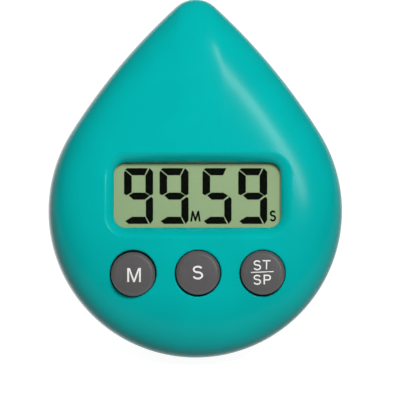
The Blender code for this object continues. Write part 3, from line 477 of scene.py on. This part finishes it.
def recessRing(share):  # from the window edge at 0 out to the lip at 1, rolling over into the crown
    grow = recess["grow"] + (recess["lip"] - recess["grow"]) * share
    bow, left = recess["bow"], 1 - share
    sag = 1 - (1 - left ** bow) ** (1 / bow)
    ring = roundedRing(grow, recess["over"], True)
    return [Vector((p.x, p.y, p.z - (p.z - recess["step"]) * sag)) for p in ring]


seamFront = case["parting"] + case["seamHalf"]
frontSkin = skinOver("front_skin", crownRings(-case["cover"], case["rings"], seamFront)
                     + crownRings(case["skin"], case["innerRings"], seamFront)[::-1], closed=True)
frontShell = cadCopy("front_shell")
frontShell.name = "face_shell"
carve(frontShell, frontSkin, "UNION")
fillRings = [roundedRing(recess["fill"][0] * mm, recess["fillLow"])]
fillRings += [roundedRing(out * mm, -recess["fillSink"], True) for out in recess["fill"]]
carve(frontShell, skinOver("recess_fill", fillRings), "UNION")  # the flat-sided recess, filled
recessRings = [roundedRing(recess["grow"], recess["floor"] - recess["under"])]
recessRings += [recessRing(i / recess["steps"]) for i in range(recess["steps"] + 1)]
recessRings += [roundedRing(recess["lip"] + out * mm, up * mm, True) for out, up in recess["clear"]]
carve(frontShell, skinOver("recess_tool", recessRings))  # the rolled one, cut
for side in (-1, 0, 1):
    x, y = side * bores["pitch"], bores["y"]
    rings = [circleRing(x, y, bores["radius"], bores["floor"], bores["steps"])]
    for out, up in bores["lip"]:
        spots = circleSpots(x, y, bores["radius"] + out * mm, bores["steps"])
        rings.append([Vector((px, py, crownHeight(px, py) + up * mm)) for px, py in spots])
    carve(frontShell, skinOver("bore_tool", rings))
smoothOff(frontShell, 34)
settle(frontShell, "case", "teal_abs", made["teal_abs"], "front_shell")
print("stage: front shell", len(frontShell.data.polygons))

# Back shell: the CAD tray with a smooth rolled edge laid over its flats
counterbores = {"radius": 2.22 * mm, "steps": 48,
                "flare": ((0.0, 2.98), (0.0, 0.4), (0.5, -0.2)),  # out and height in mm, from the seat
                "spots": ((-25.115, -14.5), (25.115, -14.5), (-18.72, 24.0), (18.72, 24.0))}
cover, skin, edge = case["cover"], case["skin"], case["edge"]
seamBack = case["parting"] - case["seamHalf"]
edgeTurns = [radians(90 * i / case["edgeSteps"]) for i in range(case["edgeSteps"] + 1)]
backBand = [(edge + case["lap"], 0.0)] + [(edge * (1 - sin(a)), edge * (1 - cos(a))) for a in edgeTurns]
bandRings = [dropRing(dropSizes(1.0, inset - cover), z - cover * 0.5) for inset, z in backBand]
bandRings.append(dropRing(dropSizes(1.0, -cover), seamBack))
bandRings += [dropRing(dropSizes(1.0, skin), z) for z in (seamBack, edge)]
bandRings += [dropRing(dropSizes(1.0, skin + inset * 0.8), z + skin)  # its inner side, in fewer rings
              for inset, z in backBand[14:2:-3]]
backBandPiece = skinOver("back_band", bandRings, closed=True)
backShell = cadCopy("back_shell")
backShell.name = "rear_shell"
carve(backShell, backBandPiece, "UNION")
for x, y in counterbores["spots"]:
    rings = [circleRing(x * mm, y * mm, counterbores["radius"] + out * mm, z * mm, counterbores["steps"])
             for out, z in counterbores["flare"]]
    carve(backShell, skinOver("counterbore_tool", rings))
smoothOff(backShell, 34)
settle(backShell, "case", "teal_abs", made["teal_abs"], "back_shell")
print("stage: back shell", len(backShell.data.polygons))

# Push buttons: hollow inside, a faintly domed top with a soft chamfer round it
cap = {"radius": 5.26 * mm, "proud": 1.1 * mm, "dome": 0.2 * mm, "roll": 0.75 * mm, "flange": 6.3 * mm,
       "flangeTop": 15.1 * mm, "flangeThick": 1.0 * mm, "skin": 1.4 * mm, "stem": 2.2 * mm,
       "flangeEdge": 0.15 * mm, "steps": 10,
       "edge": ((0.06, 0.02), (0.14, 0.07), (0.5, 0.3), (0.62, 0.4), (0.71, 0.54), (0.75, 0.74))}
# each key's place in the row, and how far its cap sits up or down in its bore in mm
keys = (("minute", -1, -0.17), ("second", 0, 0.15), ("start_stop", 1, 0.15))
capBase, capFlat = cap["flangeTop"] - cap["flangeThick"], cap["radius"] - cap["roll"]
capInside = cap["radius"] - cap["skin"]
capTops = {}
for keyName, side, play in keys:
    x, y = side * bores["pitch"], bores["y"] + play * mm
    top = crownHeight(x, bores["y"]) + cap["proud"]
    ceiling = top - 2 * cap["skin"]
    profile = [(0, top)] + [(capFlat * i / cap["steps"], top - cap["dome"] * (i / cap["steps"]) ** 2)
                            for i in range(1, cap["steps"] + 1)]
    profile += [(capFlat + out * mm, top - cap["dome"] - down * mm) for out, down in cap["edge"]]
    profile += [(cap["radius"], cap["flangeTop"]), (cap["flange"] - cap["flangeEdge"], cap["flangeTop"]),
                (cap["flange"], cap["flangeTop"] - cap["flangeEdge"]), (cap["flange"], capBase),
                (capInside, capBase), (capInside, ceiling), (cap["stem"], ceiling), (cap["stem"], capBase),
                (0, capBase)]
    button = spinUp(keyName + "_cap", profile)
    smoothOff(button, 40)
    settle(button, keyName + "_key", "grey_button_plastic", made["grey_button_plastic"], keyName + "_button",
           at=(x, y, 0))
    capTops[keyName] = (x, y, top)
print("stage: buttons", len(keys))

# Keypad mat: a rubber sheet, and three domes under the buttons, riding on no body
mat = {"width": 40.6 * mm, "height": 11.0 * mm, "corner": 0.9 * mm, "edge": 0.15 * mm, "base": 12.05 * mm,
       "thick": 0.8 * mm, "inside": 13.4 * mm, "top": 13.8 * mm, "gap": 0.02 * mm, "rows": 9, "steps": 48,
       "outerFoot": 4.6 * mm, "outerRoof": 3.2 * mm, "innerFoot": 3.1 * mm, "innerRoof": 2.3 * mm}
sheet = addBlock("mat_sheet", (mat["width"], mat["height"], mat["thick"]),
                 (0, bores["y"], mat["base"] + mat["thick"] / 2))
bpy.ops.object.mode_set(mode="EDIT")
pick(sheet, "EDGE", lambda e: climbs(e, mat["thick"] / 2))
roundPicked(mat["corner"], 6)
pick(sheet, "EDGE", lambda e: isRim(e, topOnly=True))
roundPicked(mat["edge"], 2)
bpy.ops.object.mode_set(mode="OBJECT")
for keyName, side, _ in keys:
    holeRadius = mat["outerFoot"] + mat["gap"]
    rings = [circleRing(side * bores["pitch"], bores["y"], holeRadius, z, mat["steps"])
             for z in (mat["base"] - mat["thick"], mat["top"])]
    carve(sheet, skinOver("dome_hole", rings))
smoothOff(sheet, 30)
settle(sheet, "case", "silicone_rubber", made["silicone_rubber"], "keypad_mat")
shares = [i / mat["rows"] for i in range(mat["rows"] + 1)]
for keyName, side, _ in keys:
    x, y = side * bores["pitch"], bores["y"]
    profile = [(0, mat["top"])]
    profile += [(mat["outerRoof"] + (mat["outerFoot"] - mat["outerRoof"]) * share,
                 mat["top"] + (mat["base"] - mat["top"]) * share) for share in shares]
    profile += [(mat["innerFoot"] + (mat["innerRoof"] - mat["innerFoot"]) * share,
                 mat["base"] + (mat["inside"] - mat["base"]) * share) for share in shares]
    profile += [(0, mat["inside"])]
    dome = spinUp(keyName + "_dome", profile, mat["steps"])
    smoothOff(dome, 40)
    settle(dome, None, "silicone_rubber", made["silicone_rubber"], at=(x, y, 0))
    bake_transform(dome)
print("stage: keypad mat")


# Printed marks and display figures, thin films on what carries them
def strokeOutline(path, width):  # a pen stroke of even width round a path
    sides = [[], []]
    for i, point in enumerate(path):
        ahead = (path[min(i + 1, len(path) - 1)] - path[max(i - 1, 0)]).normalized()
        across = Vector((-ahead.y, ahead.x)) * width / 2
        sides[0].append(point + across)
        sides[1].append(point - across)
    return [(p.x, p.y) for p in sides[0] + sides[1][::-1]]


def bowPath(cx, cy, rx, ry, start, end, steps=24):
    return [Vector((cx + rx * cos(radians(start + (end - start) * i / steps)),
                    cy + ry * sin(radians(start + (end - start) * i / steps)))) for i in range(steps + 1)]


# plain capitals as shares of their box: outlines of straight ones, pen paths of round ones
straightLetters = {
    "M": ((0, 0), (0, 1), (0.19, 1), (0.5, 0.2), (0.81, 1), (1, 1), (1, 0), (0.87, 0), (0.87, 0.83),
          (0.56, 0), (0.44, 0), (0.13, 0.83), (0.13, 0)),
    "slantM": ((0, 0), (0.16, 1), (0.3, 1), (0.5, 0.4), (0.7, 1), (0.84, 1), (1, 0), (0.81, 0), (0.735, 0.56),
               (0.56, 0.02), (0.44, 0.02), (0.265, 0.56), (0.19, 0)),
    "T": ((0, 1), (1, 1), (1, 0.87), (0.58, 0.87), (0.58, 0), (0.42, 0), (0.42, 0.87), (0, 0.87)),
}


def letterFilms(name, letter, left, right, low, high, pen, thick):
    w, h = right - left, high - low
    if letter in straightLetters:
        outlines = [[(left + x * w, low + y * h) for x, y in straightLetters[letter]]]
    else:
        x0, x1, y0, y1 = left + pen / 2, right - pen / 2, low + pen / 2, high - pen / 2
        cx, rx = (x0 + x1) / 2, (x1 - x0) / 2
        if letter == "S":
            upper, lower = (y1 - y0) * 0.235, (y1 - y0) * 0.265
            path = bowPath(cx, y1 - upper, rx * 0.92, upper, 22, 250)
            path += bowPath(cx, y0 + lower, rx, lower, 70, -160)
            outlines = [strokeOutline(path, pen)]
        else:  # P
            drop = (y1 - y0) * 0.27
            bowl = [Vector((x0, y1)), Vector((x1 - drop, y1))]
            bowl += bowPath(x1 - drop, y1 - drop, drop, drop, 80, -80)
            bowl += [Vector((x1 - drop, y1 - 2 * drop)), Vector((x0, y1 - 2 * drop))]
            stem = [(left, low), (left + pen, low), (left + pen, high), (left, high)]
            outlines = [strokeOutline(bowl, pen), stem]
    return [filmBar(name, [(x * mm, y * mm) for x, y in outline], thick) for outline in outlines]


def filmBar(name, points, thick):
    return skinOver(name, [[Vector((x, y, z)) for x, y in points] for z in (-thick / 2, thick / 2)])


def layOnDome(film, low):  # subdivide a flat mark and drop it onto the cap's dome
    takeUp(film)
    bpy.ops.object.mode_set(mode="EDIT")
    bpy.ops.mesh.select_all(action="SELECT")
    bpy.ops.mesh.quads_convert_to_tris()
    bpy.ops.mesh.subdivide(number_cuts=2)
    bpy.ops.object.mode_set(mode="OBJECT")
    for vert in film.data.vertices:
        vert.co.z += low - cap["dome"] * (vert.co.xy.length / capFlat) ** 2


marks = {"thick": 0.03 * mm, "sink": 0.005 * mm,
         "minute": (("M", -1.44, 1.77, -1.89, 1.44, 0.0),),
         "second": (("S", -1.4, 1.14, -1.59, 1.67, 0.43),),
         "start_stop": (("S", -2.28, -0.42, 0.57, 2.95, 0.33), ("T", -0.06, 1.8, 0.75, 2.99, 0.0),
                        ("S", -2.28, -0.42, -2.88, -0.47, 0.33), ("P", 0.16, 1.92, -2.77, -0.45, 0.33)),
         "bar": ((-2.83, -0.05), (2.57, 0.17), (2.57, 0.39), (-2.83, 0.17))}
for keyName, _, _ in keys:
    films = []
    for letter in marks[keyName]:
        films += letterFilms(keyName + "_mark", *letter, marks["thick"])
    if keyName == "start_stop":
        bar = [(px * mm, py * mm) for px, py in marks["bar"]]
        films.append(filmBar("start_stop_bar", bar, marks["thick"]))
    mark = joinUp(films)
    layOnDome(mark, marks["thick"] / 2 - marks["sink"])
    settle(mark, keyName + "_key", "grey_button_plastic", made["white_print"], at=capTops[keyName])
print("stage: button marks")

# bars as shares of a figure's width and height
figures = {"lefts": (-17.34, -8.89, 1.35, 9.87), "width": 6.82, "swell": 0.05, "low": -3.02, "high": 10.16,
           "z": 15.425 * mm, "thick": 0.02 * mm,
           "top": ((0.045, 0.979), (0.105, 1), (0.817, 1), (0.706, 0.878), (0.28, 0.878)),
           "upperLeft": ((0, 0.93), (0.03, 0.953), (0.252, 0.857), (0.252, 0.567), (0.083, 0.518), (0, 0.54)),
           "middle": ((0.165, 0.51), (0.312, 0.558), (0.716, 0.558), (0.876, 0.506), (0.716, 0.438),
                      (0.321, 0.438)),
           "upperRight": ((0.885, 1), (1, 0.936), (1, 0.536), (0.91, 0.513), (0.748, 0.572), (0.748, 0.866)),
           "lowerRight": ((0.945, 0.482), (1, 0.449), (1, 0.066), (0.908, 0), (0.761, 0.136), (0.761, 0.412)),
           "bottom": ((0.046, 0.047), (0.275, 0.122), (0.725, 0.122), (0.839, 0), (0.151, 0)),
           "nine": ("top", "upperLeft", "middle", "upperRight", "lowerRight", "bottom"),
           "five": ("top", "upperLeft", "middle", "lowerRight", "bottom"),
           "shown": ("nine", "nine", "five", "nine"),
           "letters": (("slantM", -1.65, 0.9, -2.5, 0.06, 0.0), ("S", 17.3, 18.86, -2.52, 0.16, 0.46))}


def swelled(points, by):  # an outline grown evenly all round
    grown, corners = [], [Vector(p) for p in points]
    turn = 1 if sum(a.cross(b) for a, b in zip(corners, corners[1:] + corners[:1])) > 0 else -1
    for before, here, after in zip(corners[-1:] + corners, corners, corners[1:] + corners[:1]):
        ahead, back = (after - here).normalized(), (here - before).normalized()
        outward = (Vector((ahead.y, -ahead.x)) + Vector((back.y, -back.x))).normalized() * turn
        grown.append(tuple(here + outward * by / max(0.5, outward.dot(Vector((ahead.y, -ahead.x)) * turn))))
    return grown


def segmentBars(left, lit):
    w, low, h = figures["width"], figures["low"], figures["high"] - figures["low"]
    outlines = [[((left + x * w) * mm, (low + y * h) * mm) for x, y in figures[bar]] for bar in lit]
    return [swelled(outline, figures["swell"] * mm) for outline in outlines]


films = []
for left, shown in zip(figures["lefts"], figures["shown"]):
    films += [filmBar("figures", bar, figures["thick"]) for bar in segmentBars(left, figures[shown])]
for letter in figures["letters"]:
    films += letterFilms("figures", *letter, figures["thick"])
displayFigures = joinUp(films)
displayFigures.name = "display_figures"
settle(displayFigures, "case", "polariser_film", made["black_segment"], at=(0, 0, figures["z"]))
print("stage: display figures", len(films))

# Fold-out stand: a tapered paddle on two pins, panelled on both faces
prop = {"heelHalf": 8.786 * mm, "footHalf": 12.0 * mm, "heel": 3.0 * mm, "length": 42.0 * mm,
        "thick": 2.6 * mm, "corner": 3.0 * mm, "edge": 0.45 * mm, "border": 2.6 * mm, "sunk": 0.4 * mm,
        "slope": 0.3 * mm, "open": 47, "pin": 1.1 * mm, "pinReach": 11.2 * mm, "pinEdge": 0.25 * mm,
        "hinge": (0, 16.0 * mm, 2.2 * mm)}
stand = addBlock("prop_stand", (2 * prop["heelHalf"], prop["heel"] + prop["length"], prop["thick"]),
                 (0, (prop["heel"] - prop["length"]) / 2, 0))
bpy.ops.object.mode_set(mode="EDIT")
pick(stand, "VERT", lambda v: v.co.y < 0)  # the foot end is wider
bpy.ops.transform.resize(value=(prop["footHalf"] / prop["heelHalf"], 1, 1))
pick(stand, "EDGE", lambda e: all(v.co.y < 0 for v in e.verts) and climbs(e, prop["thick"] / 2))
roundPicked(prop["corner"], 10)
pick(stand, "FACE", lambda f: abs(f.normal.z) > 0.9)
bpy.ops.mesh.inset(thickness=prop["border"], depth=0)
bpy.ops.mesh.inset(thickness=prop["slope"], depth=-prop["sunk"])
pick(stand, "EDGE", isRim)
roundPicked(prop["edge"], 4)
bpy.ops.object.mode_set(mode="OBJECT")
pin, reach, blunt = prop["pin"], prop["pinReach"], prop["pinEdge"]
pins = spinUp("stand_pins", [(0, reach), (pin - blunt, reach), (pin, reach - blunt), (pin, blunt - reach),
                             (pin - blunt, -reach), (0, -reach)], 40)
pins.data.transform(Matrix.Rotation(pi / 2, 4, "Y"))
carve(stand, pins, "UNION")
smoothOff(stand, 30)
stand.matrix_world = Matrix.Translation(prop["hinge"]) @ Matrix.Rotation(radians(prop["open"]), 4, "X")
settle(stand, "stand", "teal_abs", made["teal_abs"], "stand")
print("stage: stand", len(stand.data.polygons))

# Battery door: a turned disc with a coin slot and two bayonet lugs
lid = {"radius": 8.6 * mm, "thick": 1.2 * mm, "hub": 6.9 * mm, "hubTop": 2.4 * mm, "edge": 0.3 * mm,
       "slotHalf": 6.0 * mm, "slotWide": 0.9 * mm, "slotDeep": 1.0 * mm, "slotFillet": 0.1 * mm,
       "slotLead": 0.25 * mm, "slotFlare": 0.3 * mm, "slotSteps": 16, "lugReach": 8.1 * mm,
       "lugHalf": 1.5 * mm, "lugLow": 2.0 * mm, "lugTop": 2.35 * mm, "lugCorner": 0.4 * mm,
       "ringIn": 6.9 * mm, "ringOut": 7.4 * mm, "ringSlope": 0.15 * mm, "ringDeep": 0.2 * mm}
chamfer, slope, sunk = lid["edge"], lid["ringSlope"], lid["ringDeep"]
lidProfile = [(0, lid["hubTop"]), (lid["hub"] - chamfer, lid["hubTop"]),
              (lid["hub"], lid["hubTop"] - chamfer), (lid["hub"], lid["thick"]),
              (lid["radius"], lid["thick"]), (lid["radius"], chamfer),
              (lid["radius"] - chamfer * 0.3, chamfer * 0.3), (lid["radius"] - chamfer, 0),
              (lid["ringOut"], 0), (lid["ringOut"] - slope, sunk),  # a shallow ring round the face
              (lid["ringIn"] + slope, sunk), (lid["ringIn"], 0), (0, 0)]
door = spinUp("cell_door", lidProfile)
lugs = addBlock("door_lugs", (2 * lid["lugReach"], 2 * lid["lugHalf"], lid["lugTop"] - lid["lugLow"]),
                (0, 0, (lid["lugLow"] + lid["lugTop"]) / 2))
bpy.ops.object.mode_set(mode="EDIT")
pick(lugs, "EDGE", lambda e: climbs(e, (lid["lugTop"] - lid["lugLow"]) / 2))
roundPicked(lid["lugCorner"], 4)
bpy.ops.object.mode_set(mode="OBJECT")
carve(door, lugs, "UNION")


def slotRing(grow, z):  # a slot with round ends
    middle, r = lid["slotHalf"] - lid["slotWide"], lid["slotWide"] + grow
    turns = [pi * i / lid["slotSteps"] for i in range(lid["slotSteps"] + 1)]
    return [Vector((cx + r * cos(turn - pi / 2 + a), r * sin(turn - pi / 2 + a), z))
            for cx, turn in ((middle, 0), (-middle, pi)) for a in turns]


fillet = lid["slotFillet"]
slotRings = [slotRing(-fillet, lid["slotDeep"]), slotRing(0, lid["slotDeep"] - fillet),
             slotRing(0, lid["slotLead"]), slotRing(lid["slotFlare"], -fillet)]
carve(door, skinOver("slot_tool", slotRings))
smoothOff(door, 30)
settle(door, "battery_door", "teal_abs", made["teal_abs"], "battery_door", at=cellSpot)
print("stage: battery door", len(door.data.polygons))

# Magnets: plated discs with rounded rims
disc = {"radius": 4.0 * mm, "low": 0.05 * mm, "high": 2.05 * mm, "rim": 0.35 * mm, "rimSteps": 5,
        "x": 22.5 * mm, "y": 2.0 * mm}
for number, side in ((1, -1), (2, 1)):
    r, t, low, high = disc["radius"], disc["rim"], disc["low"], disc["high"]
    rim = [pi / 2 * i / disc["rimSteps"] for i in range(disc["rimSteps"] + 1)]
    profile = [(0, high)] + [(r - t + t * sin(a), high - t + t * cos(a)) for a in rim]
    profile += [(r - t + t * cos(a), low + t - t * sin(a)) for a in rim] + [(0, low)]
    magnet = spinUp("magnet_disc_" + str(number), profile, 72)
    smoothOff(magnet, 40)
    settle(magnet, "case", "magnet_nickel", made["magnet_nickel"], "magnet_" + str(number),
           at=(side * disc["x"], disc["y"], 0))
print("stage: magnets")

# Screws: pan heads with a cross recess, threads drawn as rings
thread = {"core": 0.78 * mm, "crest": 0.95 * mm, "pitch": 0.7 * mm, "caseHead": 1.9 * mm,
          "boardHead": 1.71 * mm, "headEdge": 0.1 * mm, "headTall": 0.7, "headSide": 0.45, "headDome": 0.55,
          "blade": (1.15, 0.26, 1.1), "taper": (0.55, 0.8, 1), "twist": 0.5,  # cross recess
          "caseSeat": 2.95 * mm, "boardSeat": 10.95 * mm, "wall": 1.8 * mm, "gap": 0.3 * mm,
          "boardSpots": ((-24.55, 6.0), (24.55, 6.0), (0.0, -24.2))}


def makeScrew(name, head, length):
    core, crest, pitch, blunt = thread["core"], thread["crest"], thread["pitch"], thread["headEdge"]
    crown = head * thread["headTall"]
    profile = [(0, length), (core * 0.5, length)]
    z = length - pitch * 0.6
    while z > pitch:
        profile += [(core, z), (crest, z - pitch * 0.3), (core, z - pitch * 0.6)]
        z -= pitch
    profile += [(core, 0), (head - blunt, 0), (head, -blunt)]
    profile += [(head * cos(a), -crown * thread["headSide"] - crown * thread["headDome"] * sin(a))
                for a in (pi / 2 * i / 8 for i in range(8))]
    profile += [(0, -crown)]
    screwPiece = spinUp(name, profile, 40)
    long, wide, deep = thread["blade"]
    for turn in (0, pi / 2):
        blade = addBlock("cross_blade", (head * long, head * wide, crown * deep), (0, 0, -crown))
        bpy.ops.object.mode_set(mode="EDIT")
        pick(blade, "VERT", lambda v: v.co.z > -crown)  # the recess narrows going in
        bpy.ops.transform.resize(value=thread["taper"])
        bpy.ops.object.mode_set(mode="OBJECT")
        blade.data.transform(Matrix.Rotation(turn + thread["twist"], 4, "Z"))
        carve(screwPiece, blade)
    smoothOff(screwPiece, 30)
    return screwPiece


caseSpots = [(x * mm, y * mm) for x, y in counterbores["spots"]]
boardSpots = [(x * mm, y * mm) for x, y in thread["boardSpots"]]
for kind, spots, head, seat in (("case", caseSpots, thread["caseHead"], thread["caseSeat"]),
                                ("board", boardSpots, thread["boardHead"], thread["boardSeat"])):
    shank = min(crownHeight(x, y) for x, y in spots) - 2 * thread["wall"] - seat - thread["gap"]
    pattern = makeScrew(kind + "_screw_piece", head, shank)
    for number, (x, y) in enumerate(spots, 1):
        one = bpy.data.objects.new(kind + "_fixing_" + str(number), pattern.data.copy())
        scene.collection.objects.link(one)
        settle(one, "case", "screw_steel", made["screw_steel"], kind + "_screw_" + str(number),
               at=(x, y, seat))
    bpy.data.objects.remove(pattern, do_unlink=True)
print("stage: screws")

# Stage: pale floor and soft studio light
studio = {"floor": 6.0, "glow": 0.95, "grey": 0.22, "air": 0.16}
deselectAll()
bpy.ops.mesh.primitive_plane_add(size=studio["floor"])
floor = bpy.context.object
floor.name = "studio_floor"
paper = bpy.data.materials.new("pale_paper")
paper.use_nodes = True
tree = paper.node_tree
tree.nodes.clear()
light = addNode(tree, "ShaderNodeLightPath")
seen = addNode(tree, "ShaderNodeMath", {"operation": "MAXIMUM"})
tree.links.new(light.outputs["Is Camera Ray"], seen.inputs[0])
tree.links.new(light.outputs["Is Glossy Ray"], seen.inputs[1])
seenToo = addNode(tree, "ShaderNodeMath", {"operation": "MAXIMUM"})
tree.links.new(seen.outputs[0], seenToo.inputs[0])
tree.links.new(light.outputs["Is Transmission Ray"], seenToo.inputs[1])
glow = addNode(tree, "ShaderNodeMath", {"operation": "MULTIPLY"}, {0: seenToo.outputs[0]})
glow.inputs[1].default_value = studio["glow"]  # white to the eye and in mirrors, grey as a light source
shine = addNode(tree, "ShaderNodeEmission", {"Color": (1, 1, 1, 1)}, {"Strength": glow.outputs[0]})
matte = addNode(tree, "ShaderNodeBsdfDiffuse", {"Color": (studio["grey"], studio["grey"], studio["grey"], 1)})
both = addNode(tree, "ShaderNodeAddShader", {}, {0: shine.outputs[0], 1: matte.outputs[0]})
addNode(tree, "ShaderNodeOutputMaterial", {}, {"Surface": both.outputs[0]})
floor.data.materials.append(paper)

world = bpy.data.worlds.new("studio_air")
scene.world = world
world.use_nodes = True
tree = world.node_tree
tree.nodes.clear()
ambient = addNode(tree, "ShaderNodeBackground", {"Color": (1, 1, 1, 1), "Strength": studio["air"]})
addNode(tree, "ShaderNodeOutputWorld", {}, {"Surface": ambient.outputs[0]})


def softLight(name, toward, distance, size, power, along=(0, 1, 0)):  # an area lamp facing the timer
    lamp = bpy.data.objects.new(name, bpy.data.lights.new(name, "AREA"))
    scene.collection.objects.link(lamp)
    lamp.data.shape = "RECTANGLE"
    lamp.data.size, lamp.data.size_y = size
    lamp.data.energy = power
    direction = (faceToWorld.to_3x3() @ Vector(toward)).normalized()
    side = (faceToWorld.to_3x3() @ Vector(along)).normalized()
    x = side.cross(direction).normalized()
    y = direction.cross(x)
    spot = faceToWorld @ Vector((0, 0, 15 * mm)) + direction * distance
    lamp.matrix_world = Matrix.Translation(spot) @ Matrix((x, y, direction)).transposed().to_4x4()
    return lamp


# toward is in face axes: right, up the face, out of it
# front_box and back_fill only light the timer, edge_strip only draws the streak on its gloss
frontBox = softLight("front_box", (0.12, 0.34, 0.93), 0.3, (0.1, 0.1), 0.79)
edgeStrip = softLight("edge_strip", (0.45, 0.31, 0.84), 0.6, (0.065, 0.33), 1.4, along=(-0.48, 0.88, 0))
edgeStrip.visible_diffuse = edgeStrip.visible_camera = False
backFill = softLight("back_fill", (0.0, 0.81, -0.58), 1.0, (1.0, 0.6), 5.0)
for lamp in (frontBox, backFill):
    lamp.visible_glossy = lamp.visible_camera = False
    lamp.data.cycles.use_multiple_importance_sampling = False  # or a pale patch shows on the gloss

# Camera: long lens along the face's own normal, a few degrees to the left
lens = {"distance": 2.0, "width": 99.4 * mm, "yaw": -3.0, "middle": (3.0, 0.717, 8.0), "sensor": 36.0,
        "farEnd": 20.0}
shot = bpy.data.cameras.new("shot")
camera = bpy.data.objects.new("shot", shot)
scene.collection.objects.link(camera)
shot.sensor_width = lens["sensor"]
shot.lens = lens["sensor"] * lens["distance"] / lens["width"]
shot.clip_end = lens["farEnd"]
aim = Vector(lens["middle"]) * mm
yaw = Matrix.Rotation(radians(lens["yaw"]), 4, "Y")
back = Matrix.Translation((0, 0, lens["distance"]))
camera.matrix_world = faceToWorld @ Matrix.Translation(aim) @ yaw @ back
scene.camera = camera
scene.view_settings.view_transform = "Standard"
print("stage: floor, lights and camera")
